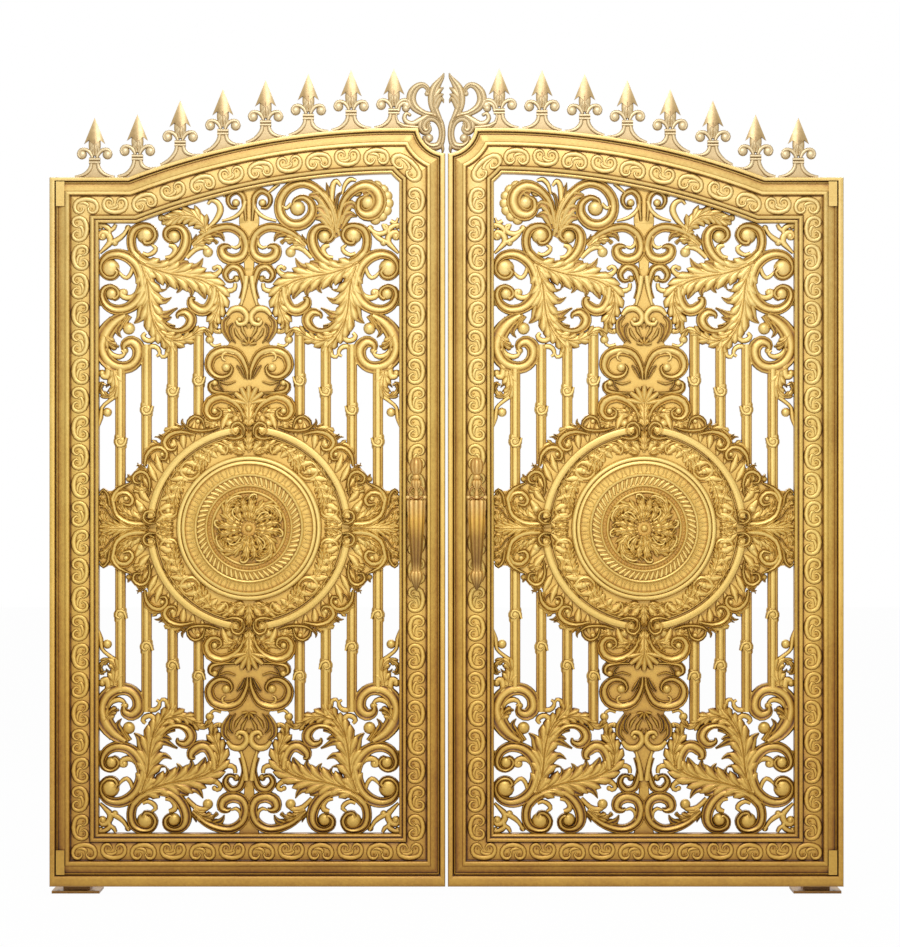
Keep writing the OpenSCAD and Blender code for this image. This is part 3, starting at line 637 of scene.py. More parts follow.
def columnShape(upward):
    # the ground plate, drawn in at its edge, and the scrolls on it
    shape = Shape()
    half = smooth([(c - columnParts["inset"], d, 1) for c, d in columnParts["edge"]], 3)[:, :2]
    if upward:
        half = np.vstack([half, columnParts["head"]])
    slab(shape, half, columnParts["thick"])
    relief = columnParts["relief"]
    for d, reach, lobes, w in columnParts["fans"]:
        for a in np.radians(np.linspace(12, 168, lobes)):
            x, z = math.cos(a), math.sin(a)
            sweep(shape, "petal", [(share * reach * x, d + share * reach * z, w * full)
                                   for share, full in ((0.12, 0.6), (0.6, 1.3), (1, 0.9))], *relief["fan"],
                                   steps=2)
    for mirror in (1, -1):
        one = Shape()
        for points in columnParts["stem"]:
            sweep(one, "stem", points, *relief["stem"])
        sweep(one, "round", columnParts["horn"], *relief["horn"])
        for points in columnParts["round"] + [columnParts["hook"]]:
            sweep(one, "round", points, *relief["round"], steps=2)
        for points in columnParts["lobes"]:
            sweep(one, "petal", points, *relief["lobe"], steps=2)
        for points in columnParts["side"]:
            sweep(one, "blade", points, *relief["side"], steps=2)
        for c, d, r in columnParts["balls"]:
            ball(one, c, d, r, columnParts["ballDepth"])
        shape.join(one, lambda q: q * [mirror, 1, 1], flip=mirror < 0)
    return shape


def slab(shape, half, thick, bevel=3):
    # a flat plate, the same both sides of its axis, with its edges eased
    half = np.asarray(half, float)
    levels = np.linspace(half[:, 1].min(), half[:, 1].max(), 2 * len(half))
    low, high = half[:-1], half[1:]
    reach = []
    for d in levels:
        t = (d - low[:, 1]) / np.where(np.abs(high[:, 1] - low[:, 1]) < 1e-6, 1e-6, high[:, 1] - low[:, 1])
        inside = (t >= -0.001) & (t <= 1.001)
        reach.append((low[:, 0] + t * (high[:, 0] - low[:, 0]))[inside].max())
    half = np.stack([reach, levels], axis=1)
    n = len(half)
    rows = [(-thick, -bevel), (-thick + bevel, 0), (thick - bevel, 0), (thick, -bevel)]
    grid = []
    for c, d in half:
        for y, inset in rows:
            grid.append((c + inset, y, d))
        for y, inset in rows[::-1]:
            grid.append((-c - inset, y, d))
    m = 2 * len(rows)
    shape.add(grid, turnedOver(tubeFaces(n, m)), 0.6)


# the plate and ring: c right and d up from the medallion's centre
plateParts = {
    "edge": [(564, 0), (564, 118), (550, 138), (532, 136), (520, 112), (506, 120), (480, 146), (442, 176),
             (436, 198), (410, 214), (388, 226), (380, 262), (366, 296), (346, 314), (322, 322), (300, 352),
             (262, 366), (240, 378), (226, 402), (204, 418), (182, 418), (166, 440), (150, 474), (124, 494),
             (96, 500), (60, 503), (26, 508), (12, 514)],
    "ringSpan": (6, 84), "ringR": 371,
    "stem": [
        [(18, 400, 10), (28, 440, 22), (58, 474, 34), (104, 492, 40), (146, 476, 42), (160, 440, 36),
         (142, 414, 30), (112, 416, 24), (104, 438, 18), (122, 452, 12)],
        [(206, 352, 14), (256, 362, 26), (298, 350, 32), (318, 322, 32), (304, 297, 26), (280, 296, 20),
         (272, 310, 12)],
        [(392, 232, 12), (386, 272, 26), (362, 300, 30), (330, 304, 30), (308, 282, 26), (314, 258, 20),
         (334, 260, 12)],
        [(378, 120, 8), (372, 165, 18), (384, 202, 24), (410, 212, 26), (434, 194, 22), (428, 172, 18),
         (408, 170, 12)],
        [(444, 170, 8), (488, 148, 24), (512, 112, 34), (502, 72, 24), (512, 100, 4)],
        [(506, 100, 20), (492, 130, 32), (458, 134, 32), (436, 108, 30), (448, 86, 24), (474, 92, 14)],
        [(508, 84, 26), (494, 48, 32), (452, 22, 34), (400, 18, 34), (360, 34, 26), (352, 72, 14)],
        [(92, 374, 16), (50, 386, 26), (24, 370, 30), (28, 344, 26), (60, 336, 22), (92, 344, 12)],
        [(110, 380, 10), (148, 368, 18), (190, 366, 20), (220, 372, 18), (238, 386, 10)],
        [(166, 376, 10), (176, 408, 18), (204, 420, 20), (228, 402, 16), (232, 380, 8)],
        [(524, 84, 12), (530, 124, 18), (548, 144, 16), (560, 130, 10)],
    ],
    "blade": [
        [(12, 412, 14), (22, 446, 18), (52, 462, 16), (76, 452, 8)],
        [(36, 420, 12), (52, 436, 12), (84, 436, 4)],
        [(236, 378, 14), (252, 396, 12), (250, 412, 3)], [(246, 374, 14), (268, 388, 10), (280, 386, 3)],
        [(322, 330, 14), (340, 344, 12), (356, 342, 3)], [(318, 336, 10), (330, 350, 8), (340, 354, 3)],
        [(394, 222, 14), (410, 236, 12), (424, 234, 3)], [(400, 218, 10), (412, 228, 8), (420, 246, 3)],
        [(440, 168, 10), (450, 192, 14), (456, 204, 4)], [(370, 130, 10), (384, 150, 14), (392, 180, 4)],
        [(470, 60, 10), (486, 74, 16), (482, 96, 4)], [(420, 40, 10), (446, 44, 14), (462, 62, 4)],
        [(350, 244, 10), (366, 256, 14), (372, 280, 4)], [(262, 330, 8), (282, 338, 14), (300, 330, 4)],
        [(525, 20, 12), (545, 30, 16), (560, 24, 6)], [(524, 50, 10), (540, 74, 16), (560, 78, 6)],
        [(540, 100, 8), (552, 108, 12), (562, 100, 4)], [(500, 30, 10), (520, 44, 14), (530, 66, 4)],
    ],
    "balls": [(72, 392, 20), (405, 72, 20), (192, 402, 13), (130, 440, 16), (288, 312, 14), (326, 278, 13),
              (412, 186, 12), (462, 112, 14), (452, 184, 12), (552, 130, 9), (74, 458, 9), (540, 58, 8)],
    "innerStem": [
        [(188, 296, 8), (206, 268, 18), (188, 236, 24), (186, 206, 26), (212, 184, 28), (244, 192, 28),
         (258, 222, 26), (240, 246, 22), (214, 242, 18), (208, 220, 14), (224, 212, 8)],
        [(150, 312, 10), (110, 322, 18), (82, 306, 20), (84, 284, 18), (106, 282, 12)],
        [(276, 84, 10), (272, 54, 22), (300, 40, 26), (330, 56, 22), (334, 84, 10)],
        [(20, 300, 12), (30, 280, 20), (50, 286, 18), (54, 304, 10)],
    ],
    "innerBlade": [
        [(118, 306, 14), (150, 286, 20), (170, 250, 20), (178, 214, 6)],
        [(134, 292, 8), (150, 270, 14), (146, 252, 3)],
        [(152, 276, 8), (164, 252, 14), (160, 236, 3)], [(250, 178, 12), (268, 140, 24), (276, 100, 20),
                                                         (272, 70, 5)],
        [(256, 168, 8), (258, 140, 12), (248, 128, 3)], [(266, 148, 8), (264, 120, 12), (254, 108, 3)],
        [(300, 186, 6), (298, 160, 16), (288, 120, 16), (290, 90, 4)],
        [(308, 170, 6), (312, 140, 14), (300, 110, 4)],
        [(182, 262, 8), (196, 240, 12), (200, 224, 3)], [(240, 262, 6), (262, 248, 14), (276, 220, 4)],
        [(268, 226, 6), (282, 200, 14), (284, 180, 4)], [(40, 320, 8), (60, 306, 14), (70, 290, 4)],
        [(320, 30, 8), (304, 20, 14), (284, 18, 4)], [(330, 12, 6), (308, 4, 12), (286, 4, 4)],
    ],
    "leaves": [
        [(30, 400, 20), (48, 424, 34), (86, 436, 36), (116, 424, 14)],
        [(120, 384, 18), (150, 394, 32), (176, 386, 12)],
        [(252, 374, 20), (290, 372, 34), (322, 340, 12)], [(334, 312, 20), (366, 306, 34), (388, 268, 12)],
        [(388, 226, 20), (404, 208, 34), (400, 176, 12)], [(384, 150, 18), (408, 142, 36), (432, 150, 14)],
        [(470, 150, 18), (500, 128, 36), (512, 84, 14)], [(400, 34, 18), (440, 44, 40), (480, 74, 30),
                                                          (492, 100, 8)],
        [(522, 12, 16), (548, 30, 34), (560, 62, 12)], [(524, 70, 14), (546, 96, 30), (560, 112, 10)],
        [(112, 312, 18), (146, 290, 34), (172, 248, 34), (184, 206, 10)],
        [(246, 190, 18), (268, 150, 38), (278, 104, 32), (272, 62, 8)],
        [(300, 192, 12), (306, 150, 28), (296, 104, 22), (290, 74, 6)],
        [(250, 258, 14), (276, 232, 30), (292, 196, 10)], [(186, 296, 16), (190, 256, 34), (204, 220, 12)],
        [(18, 282, 14), (44, 296, 30), (72, 284, 10)], [(50, 330, 14), (80, 316, 26), (104, 324, 8)],
        [(340, 20, 14), (312, 28, 30), (286, 20, 10)], [(344, 6, 10), (316, 6, 20), (284, 6, 6)],
    ],
    "fill": [(388, 448, 15, 0.1), (292, 350, 13, -0.12)],  # low leaves all over the ground
    "clasp": [(20, 350, 8), (18, 376, 16), (36, 396, 20), (60, 388, 20), (64, 364, 18), (48, 352, 14),
              (38, 366, 10)],
    "axisUp": [[(0, 286, 14), (0, 316, 34), (0, 346, 30), (0, 372, 10)],
               [(0, 376, 16), (0, 420, 50), (0, 470, 54), (0, 512, 16)]],
    "axisOut": [[(286, 0, 14), (314, 0, 30), (346, 0, 12)],
                [(376, 0, 16), (420, 0, 44), (486, 0, 56), (536, 0, 40), (562, 0, 12)]],
    "arc": 26, "innerArc": (349, 7), "thick": 13.4, "stileEdge": 560, "inset": 5, "overlap": 2,
    "relief": {"fill": (7, 12.5), "stem": (14, 12), "innerStem": (9, 11), "blade": (11, 11),
               "innerBlade": (8, 11),
               "leaves": (11, 10), "axis": (13, 11), "arc": (8, 22), "thin": (5, 16), "clasp": (12, 22)},
    "ballDepth": 25, "leafPitch": 22, "axisPitch": 20,
    "innerBalls": [(226, 214, 16), (304, 66, 14), (96, 300, 9), (32, 322, 12), (322, 32, 12)],
}


def plateQuadrant():
    shape = Shape()
    relief = plateParts["relief"]
    for near, far, count, turn in plateParts["fill"]:
        for k in range(count):
            a = math.pi / 2 * (k + 0.5) / count
            rows = ((near, 0, 12), ((near + far) / 2, turn * 0.4, 34), (far, turn, 6))
            sweep(shape, "petal", [(r * math.cos(a + t), r * math.sin(a + t), w) for r, t, w in rows],
                  *relief["fill"], steps=2)
    for family, kind in (("stem", "stem"), ("innerStem", "stem"), ("blade", "blade"),
                         ("innerBlade", "blade")):
        for points in plateParts[family]:
            sweep(shape, kind, points, *relief[family], steps=2)
    for points in plateParts["leaves"]:
        acanthus(shape, points, *relief["leaves"], pitch=plateParts["leafPitch"])
    for c, d, r in plateParts["balls"] + plateParts["innerBalls"]:
        ball(shape, c, d, r, plateParts["ballDepth"], small=r < 13)
    return shape


def plateShape():
    shape = Shape()
    # drawn in at its carved edge, and run a little into the stile at its sides
    moved = [c - plateParts["inset"] if c < plateParts["stileEdge"] else c + plateParts["overlap"]
             for c, d in plateParts["edge"]]
    edge = smooth([(c, d, 1) for c, (b, d) in zip(moved, plateParts["edge"])], 2)[:, :2]
    half = np.vstack([edge[::-1] * [1, -1], edge[1:]])
    slab(shape, half, plateParts["thick"])
    one = plateQuadrant()
    for a in (1, -1):
        for b in (1, -1):
            shape.join(one, lambda q: q * [a, 1, b], flip=a * b < 0)
    for sign in (1, -1):
        lines = [[(c, sign * d, w) for c, d, w in points] for points in plateParts["axisUp"]]
        lines += [[(sign * c, d, w) for c, d, w in points] for points in plateParts["axisOut"]]
        for points in lines:
            acanthus(shape, points, *plateParts["relief"]["axis"], pitch=plateParts["axisPitch"])
    return shape


def ringShape():
    # four smooth arcs with a thin line inside, and the scrolls that clasp their ends
    shape = Shape()
    relief = plateParts["relief"]
    low, high = plateParts["ringSpan"]
    turns = [(math.cos(g), math.sin(g)) for g in np.radians(np.linspace(low, high, 33))]
    r = plateParts["ringR"]
    thinR, thin = plateParts["innerArc"]
    for a in (1, -1):
        for b in (1, -1):
            one = Shape()
            sweep(one, "flat", [(r * c, r * d, plateParts["arc"]) for c, d in turns], *relief["arc"], steps=1)
            sweep(one, "petal", [(thinR * c, thinR * d, thin) for c, d in turns], *relief["thin"], steps=1)
            for points in (plateParts["clasp"], [(d, c, w) for c, d, w in plateParts["clasp"]]):
                sweep(one, "stem", points, *relief["clasp"], steps=2)
                ball(one, points[-1][0] + 4, points[-1][1] + 4, 10, 35, small=True)
            shape.join(one, lambda q: q * [a, 1, b], flip=a * b < 0)
    return shape


# the medallion: a turned profile of radius, half depth and painted brightness (painted highlights on the
# rounds, glaze and painted shade in the hollows), then its carved rings
turned = {
    "profile": [(274, 12, 0.1), (272, 22, 0.4), (268, 29, 0.9), (262, 31, 1), (256.5, 29, 0.6),
                (255, 25.5, 0), (253, 28, 0.5), (249, 31, 1), (243, 31, 0.9), (240, 28, 0.5),
                (238.5, 25, 0.1), (230, 24, 0.6), (215, 24, 0.6), (207, 26, 0.6), (204.5, 31, 0.8),
                (201, 34, 1), (197, 33, 0.6), (194, 29, 0.1), (182, 31, 0.5), (168, 29, 0.35),
                (164, 31.5, 0.5), (161, 34, 1), (157, 32, 0.6), (154, 26, 0.35), (144, 26, 0.35),
                (141, 31, 0.6), (137, 33, 1), (133, 31, 0.5), (130, 27, 0.3), (100, 27, 0.42),
                (50, 28, 0.42), (10, 30, 0.4)],
    "gadroons": 60, "twist": 0.09, "gadroon": [(166, 0, 6), (176, 0.35, 12), (187, 0.7, 14), (194, 1, 8)],
    "pearls": 72, "pearlRing": 149, "pearl": (5.6, 37), "around": 96,
    "eggs": 44, "egg": [(236, -10, 5), (220, -10, 6), (209, -5, 6), (207, 0, 6), (209, 5, 6), (220, 10, 6),
                        (236, 10, 5)],
    "relief": {"gadroon": (4, 31), "egg": (5, 22.5)},
}


def evenTurns(count):
    return [2 * math.pi * i / count for i in range(count)]


def medallionShape():
    shape = Shape()
    around = turned["around"]
    profile = [(r, -y, g) for r, y, g in turned["profile"]]
    lines = profile + [(r, -y, g) for r, y, g in reversed(profile)]
    n, m = len(profile), len(lines)
    grid = [(r * math.cos(2 * math.pi * i / around), y, r * math.sin(2 * math.pi * i / around))
            for i in range(around) for r, y, g in lines]
    faces = []
    for i in range(around):
        k = (i + 1) % around
        for j in range(m):
            if j != n - 1:
                faces.append([i * m + j, i * m + (j + 1) % m, k * m + (j + 1) % m, k * m + j])
    faces.append([i * m + n - 1 for i in range(around)])
    faces.append([i * m + n for i in reversed(range(around))])
    shape.add(grid, [f[::-1] for f in faces], [g for i in range(around) for r, y, g in lines])
    for a in evenTurns(turned["gadroons"]):
        points = [(r * math.cos(a + turned["twist"] * t), r * math.sin(a + turned["twist"] * t), w)
                  for r, t, w in turned["gadroon"]]
        sweep(shape, "bead", points, *turned["relief"]["gadroon"], steps=1)
    r = turned["pearlRing"]
    for a in evenTurns(turned["pearls"]):
        # the pearls carry a doubled painted highlight
        ball(shape, r * math.cos(a), r * math.sin(a), *turned["pearl"], small=True, paintedShine=2.0)
    for a in evenTurns(turned["eggs"]):
        points = [(r * math.cos(a) - x * math.sin(a), r * math.sin(a) + x * math.cos(a), w)
                  for r, x, w in turned["egg"]]
        sweep(shape, "bead", points, *turned["relief"]["egg"], steps=1)
    return shape


rosetteParts = {
    "leaves": [
        [(14, 24, 16), (26, 58, 32), (58, 82, 40), (92, 74, 34), (112, 46, 24), (106, 24, 12)],
        [(26, 22, 14), (54, 40, 28), (84, 44, 24), (94, 30, 10)],
        [(28, -2, 16), (62, -8, 36), (96, -10, 32), (122, -22, 10)],
        [(30, 8, 14), (66, 14, 30), (100, 20, 26), (118, 4, 8)],
    ],
    "curls": [
        [(112, 0, 8), (126, -12, 12), (126, -28, 10), (114, -30, 8)],
        [(96, 82, 8), (112, 66, 12), (122, 40, 10), (118, 26, 6)],
        [(30, 34, 8), (48, 58, 10), (70, 60, 10), (76, 48, 6)],
    ],
    "relief": {"leaf": (16, 26), "curl": (14, 28)}, "leafPitch": 21,
    "seeds": (0.0, 0.52, 1.05), "seedRing": 28, "boss": (21, 44),
}


def rosetteShape():
    shape = Shape()
    one = Shape()
    for points in rosetteParts["leaves"]:
        acanthus(one, points, *rosetteParts["relief"]["leaf"], pitch=rosetteParts["leafPitch"])
    for points in rosetteParts["curls"]:
        sweep(one, "round", points, *rosetteParts["relief"]["curl"], steps=2)
    r = rosetteParts["seedRing"]
    for a in rosetteParts["seeds"]:
        ball(one, r * math.cos(a), r * math.sin(a), 8, 41, small=True)
    for c, s in ((1, 0), (0, 1), (-1, 0), (0, -1)):
        shape.join(one, lambda q: np.stack([q[:, 0] * c - q[:, 2] * s, q[:, 1], q[:, 0] * s + q[:, 2] * c],
                                           axis=1))
    # the boss carries a weaker painted highlight
    ball(shape, 0, 0, *rosetteParts["boss"], paintedShine=0.6)
    return shape


bandH = frameSizes["bottom"]

# bars with their spiral knots
barParts = {
    "places": [190, 288, 386, 484], "width": 39, "knots": [590, 630, 700, 820], "ends": [405, 440, 455, 530],
    "tops": [420, 350, 240, 130], "knot": 27, "knotDepth": 20, "endDepth": 17, "endShare": 0.72,
    # round the knot's middle, out from the bar
    "spiral": [(-24, -14, 8), (-14, 12, 12), (8, 16, 12), (15, -4, 10), (2, -12, 8), (-6, -2, 6)],
    "relief": {"bar": (8, 9), "spiral": (5, 17)},
}


def barsShape():
    # places from the column's axis; knots and lower ends above the bottom rail
    shape = Shape()
    for x, knot, low, top in zip(barParts["places"], barParts["knots"], barParts["ends"], barParts["tops"]):
        sweep(shape, "bar", [(x, low, barParts["width"]), (x, medH - bandH - top, barParts["width"])],
              *barParts["relief"]["bar"], steps=2)
        w = barParts["knot"]
        ball(shape, x, knot, w, barParts["knotDepth"])
        for side, rise in ((-5, 17), (5, -17)):
            ball(shape, x + side, knot + rise, w * barParts["endShare"], barParts["endDepth"])
        sweep(shape, "round", [(x + a, knot + b, width) for a, b, width in barParts["spiral"]],
              *barParts["relief"]["spiral"], steps=2)
    return shape


# spears along the lip
spearParts = {
    "first": 167, "pitch": 160.7, "count": 8,
    "head": [(0, 226, 3), (-40, 127, 3), (-21, 141, 12), (0, 122, 14), (21, 141, 12), (40, 127, 3)],
    "bulb": [(0, 142, 44), (0, 120, 46), (0, 104, 38), (0, 84, 8)],
    "volute": [(8, 76, 12), (16, 94, 16), (32, 106, 15), (52, 106, 13), (62, 90, 11), (54, 76, 8)],
    "foot": [(12, 56, 14), (15, 38, 17), (26, 22, 17), (46, 9, 15), (74, 3, 12)],
    "web": [(13, 52), (16, 36), (27, 20), (44, 8), (72, 2), (78, -6)],
    "faces": [0.3, 0.1, -0.15, -0.3, 0.3, 0.0],  # painted highlight and shade at each corner of the head, lightest at the tip and a ridge, darkest at the notch
    "voluteBall": (48, 88, 19, 14), "rings": [(70, 13), (58, 12)], "ringReach": 21, "bulbPitch": 20,
    "webThick": 6, "footHeight": 54, "lastReach": 0.62,
    "relief": {"bulb": (8, 5), "volute": (9, 3), "foot": (8, 3), "ring": (8, 5)},
}


def lipTop(u):
    onArch = archZ + math.sqrt(max(archR ** 2 - (u - archX) ** 2, 0))
    return max(leaf["height"], onArch) if u < archX + 60 else onArch


def spearShape():
    shape = Shape()
    outline = spearParts["head"]
    n = len(outline)
    grid = [(x, -y, z) for x, z, y in outline] + [(x, y, z) for x, z, y in outline]
    tip, left, ridgeA, notch, ridgeB, right = range(n)
    front = [[tip, left, ridgeA], [tip, ridgeA, notch], [tip, notch, ridgeB], [tip, ridgeB, right]]
    faces = front + [[k + n for k in reversed(f)] for f in front]
    faces += [[(k + 1) % n, k, k + n, (k + 1) % n + n] for k in range(n)]
    shape.add(grid, faces, spearParts["faces"] * 2)
    relief = spearParts["relief"]
    acanthus(shape, spearParts["bulb"], *relief["bulb"], pitch=spearParts["bulbPitch"])
    for side in (1, -1):
        one = Shape()
        sweep(one, "round", spearParts["volute"], *relief["volute"], steps=2)
        ball(one, *spearParts["voluteBall"])
        sweep(one, "round", spearParts["foot"], *relief["foot"], steps=2)
        shape.join(one, lambda q: q * [side, 1, 1], flip=side < 0)
    reach = spearParts["ringReach"]
    for z, w in spearParts["rings"]:
        sweep(shape, "round", [(x, z, w) for x in (-reach, 0, reach)], *relief["ring"], steps=1)
    web = smooth([(c, d, 1) for c, d in spearParts["web"]], 2)[::-1, :2]
    slab(shape, web, spearParts["webThick"], 1)
    return shape


def spearRow():
    row, one = Shape(), spearShape()
    for i in range(spearParts["count"]):
        u = spearParts["first"] + spearParts["pitch"] * i
        last = i == spearParts["count"] - 1

        def place(q):
            # the foot follows the lip, and the last spear's stops short of the crest
            foot = np.clip(1 - q[:, 2] / spearParts["footHeight"], 0, 1)
            reach = np.where(last & (q[:, 0] > 0), spearParts["lastReach"], 1.0)
            level = np.array([lipTop(u + x) for x in q[:, 0] * reach])
            out = q.copy()
            out[:, 0] = u + q[:, 0] * np.where(foot > 0, reach, 1)
            out[:, 2] = q[:, 2] + lipTop(u) + (level - lipTop(u)) * foot
            return out
        row.join(one, place)
    return row


# the crest over the meeting corner, in u and h
crestParts = {
    "stem": [
        [(1405, 2820, 8), (1408, 2797, 16), (1430, 2780, 22), (1460, 2784, 24), (1472, 2812, 20),
         (1472, 2846, 20), (1462, 2874, 24), (1442, 2890, 27), (1419, 2890, 29), (1402, 2874, 29),
         (1398, 2852, 28), (1410, 2837, 24), (1424, 2845, 18), (1421, 2863, 12), (1428, 2871, 8)],
        [(1470, 2870, 14), (1456, 2896, 20), (1441, 2930, 26), (1439, 2965, 30), (1446, 2998, 28),
         (1461, 3022, 20), (1474, 3040, 12), (1480, 3056, 4)],
        [(1465, 2886, 14), (1438, 2898, 18), (1408, 2904, 18), (1372, 2926, 24), (1357, 2956, 28),
         (1363, 2986, 26), (1382, 3007, 20), (1404, 3011, 16), (1420, 2996, 14), (1417, 2980, 12)],
    ],
    "round": [
        [(1309, 2912, 10), (1314, 2934, 12), (1332, 2944, 12), (1346, 2934, 10)],
        [(1350, 2902, 8), (1338, 2904, 12), (1331, 2887, 14), (1343, 2870, 16), (1366, 2866, 17),
         (1388, 2878, 18), (1415, 2893, 16)],
        [(1305, 2872, 10), (1330, 2858, 12), (1360, 2854, 12), (1384, 2852, 10)],
    ],
    "blade": [
        [(1447, 2970, 16), (1462, 2990, 16), (1479, 3002, 4)],
        [(1444, 2944, 16), (1462, 2970, 15), (1479, 2977, 4)],
        [(1448, 2918, 14), (1460, 2948, 15), (1473, 2962, 12), (1479, 2944, 3)],
        [(1354, 2930, 12), (1344, 2952, 12), (1343, 2972, 3)],
        [(1440, 2900, 12), (1446, 2950, 14), (1452, 2998, 4)],
        [(1470, 2790, 12), (1476, 2770, 10), (1474, 2756, 4)],
    ],
    "fuller": 1.32, "rib": 0.5, "ballFull": 1.3, "ballDepth": 14,
    "relief": {"stem": (9, 3), "rib": (13, 4), "side": (9, 4)},
    "balls": [(1337, 2924, 12), (1424, 2812, 13), (1417, 2979, 8), (1351, 2900, 6)],
}


def crestShape():
    shape = Shape()
    full, relief = crestParts["fuller"], crestParts["relief"]
    for points in crestParts["stem"]:
        sweep(shape, "round", [(u, h, w * full) for u, h, w in points], *relief["stem"], steps=3)
        sweep(shape, "petal", [(u, h, w * crestParts["rib"]) for u, h, w in points], *relief["rib"], steps=3)
    for family, kind in (("round", "round"), ("blade", "petal")):
        for points in crestParts[family]:
            sweep(shape, kind, [(u, h, w * full) for u, h, w in points], *relief["side"], steps=2)
    for u, h, r in crestParts["balls"]:
        ball(shape, u, h, r * crestParts["ballFull"], crestParts["ballDepth"])
    return shape


# the handle, turned and fluted, on two necks
handleParts = {
    "u": 1377, "y": -96, "bottom": 1111, "flutes": 9,
    "profile": [  # height above the bottom, radius, flute depth
        (500, 1, 0), (498, 12, 0), (490, 21, 0.04), (476, 26, 0.06), (460, 26, 0.06), (446, 22, 0.04),
        (438, 15, 0),
        (434, 11, 0), (430, 14, 0), (422, 14, 0), (417, 10, 0), (414, 15, 0.05), (408, 21, 0.1),
        (398, 20, 0.12),
        (386, 13, 0.1), (380, 8, 0), (374, 7, 0), (362, 9, 0), (352, 11, 0), (344, 9, 0), (341, 20, 0.1),
        (339, 33, 0.18), (332, 35, 0.18), (312, 34, 0.16), (280, 33, 0.14), (240, 31, 0.12), (200, 28, 0.12),
        (160, 25, 0.12), (120, 21, 0.12), (90, 18, 0.12), (78, 17, 0.08), (74, 22, 0.1), (64, 27, 0.12),
        (48, 25, 0.14),
        (30, 17, 0.14), (14, 9, 0.08), (1, 1, 0)],
    "beads": [(-30, 350), (0, 350), (30, 350)],
    "necks": [(40, 11), (462, 12)],
}


def turnedShape(shape, u, y, bottom, profile, around, flutes=0, squash=1.0):
    m = around
    grid, glow = [], []
    for z, r, depth in profile:
        for i in range(m):
            a = 2 * math.pi * i / m
            wave = 0.5 + 0.5 * math.cos(flutes * a)
            rr = r * (1 - depth * (1 - wave))
            grid.append((u + rr * math.sin(a), y - rr * squash * math.cos(a), bottom + z))
            # painted highlights on the ribs between the flutes, painted shade down in the flutes
            glow.append(0.25 + 0.7 * wave if depth else 0.7)
    shape.add(grid, tubeFaces(len(profile), m), glow)


def handleShape():
    shape, h = Shape(), handleParts
    turnedShape(shape, h["u"], h["y"], h["bottom"], h["profile"], 54, h["flutes"], 0.9)
    for x, z in h["beads"]:
        ball(shape, h["u"] + x, h["bottom"] + z, 9, 12, base=h["y"] - 14 if x == 0 else h["y"])
    for side in (1, -1):
        one = Shape()
        sweep(one, "blade", [(0, 330, 16), (16, 348, 16), (30, 352, 8)], 5, 6)
        sweep(one, "blade", [(8, 392, 8), (22, 384, 14), (30, 360, 6)], 5, 6)
        shape.join(one, lambda q: q * [side, 1, 1] + [h["u"], h["y"], h["bottom"]], flip=side < 0)
    for z, r in h["necks"]:
        neck = Shape()
        turnedShape(neck, 0, 0, 0, [(0, r + 5, 0), (8, r + 1, 0), (20, r - 2, 0), (50, r - 2, 0),
                                    (72, r, 0)], 20)
        shape.join(neck, lambda q: np.stack([h["u"] + q[:, 0], -27 - q[:, 2], h["bottom"] + z - q[:, 1]],
                                            axis=1))
    return shape


# materials
class Value:
    # a socket whose sums and products add Math nodes
    def __init__(self, tree, socket):
        self.tree, self.socket = tree, socket

    def maths(self, operation, other):
        n = self.tree.nodes.new("ShaderNodeMath")
        n.operation = operation
        for slotIndex, v in enumerate((self, other)):
            if isinstance(v, Value):
                self.tree.links.new(v.socket, n.inputs[slotIndex])
            else:
                n.inputs[slotIndex].default_value = v
        return Value(self.tree, n.outputs[0])

    def __add__(self, other):
        return self.maths("ADD", other)

    def __radd__(self, other):
        return self.maths("ADD", other)

    def __sub__(self, other):
        return self.maths("SUBTRACT", other)

    def __mul__(self, other):
        return self.maths("MULTIPLY", other)


class Paint:
    def __init__(self, name):
        self.material = bpy.data.materials.new(name)
        self.material.use_nodes = True
        self.tree = self.material.node_tree
        self.shader = self.tree.nodes["Principled BSDF"]

    def node(self, kind, settings=None, sockets=None, output=0):
        n = self.tree.nodes.new("ShaderNode" + kind)
        for key, value in (settings or {}).items():
            if key == "stops":
                ramp = n.color_ramp
                while len(ramp.elements) < len(value):
                    ramp.elements.new(0.5)
                for e, (place, colour) in zip(ramp.elements, value):
                    e.position, e.color = place, colour
            else:
                setattr(n, key, value)
        for key, value in (sockets or {}).items():
            if isinstance(value, Value):
                self.tree.links.new(value.socket, n.inputs[key])
            else:
                n.inputs[key].default_value = value
        return Value(self.tree, n.outputs[output])

    def feed(self, name, value):
        if isinstance(value, Value):
            self.tree.links.new(value.socket, self.shader.inputs[name])
        else:
            self.shader.inputs[name].default_value = value


def linear(r, g, b):
    return tuple((c / 255 / 12.92) if c <= 10 else ((c / 255 + 0.055) / 1.055) ** 2.4 for c in (r, g,
                                                                                                b)) + (1,)


goldPaint = {
    "glazeAndShade": linear(70, 36, 6), "ochre": linear(158, 108, 34), "gold": linear(208, 166, 80),
    "light": linear(232, 198, 118), "metallic": 0.3, "roughness": 0.4,
    "glazeAndShadeReach": 0.026, "castGrain": 90, "plain": 0.66,
    # painted shade toward the ground and painted light toward the top: share of a height of 3 m, colour
    "tints": [(0.0, (0.76, 0.72, 0.48, 1)), (0.24, (0.83, 0.8, 0.6, 1)), (0.46, (1.0, 1.07, 1.08, 1)),
              (0.62, (0.98, 1.03, 1.08, 1)), (0.85, (0.88, 0.93, 1.06, 1))],
}


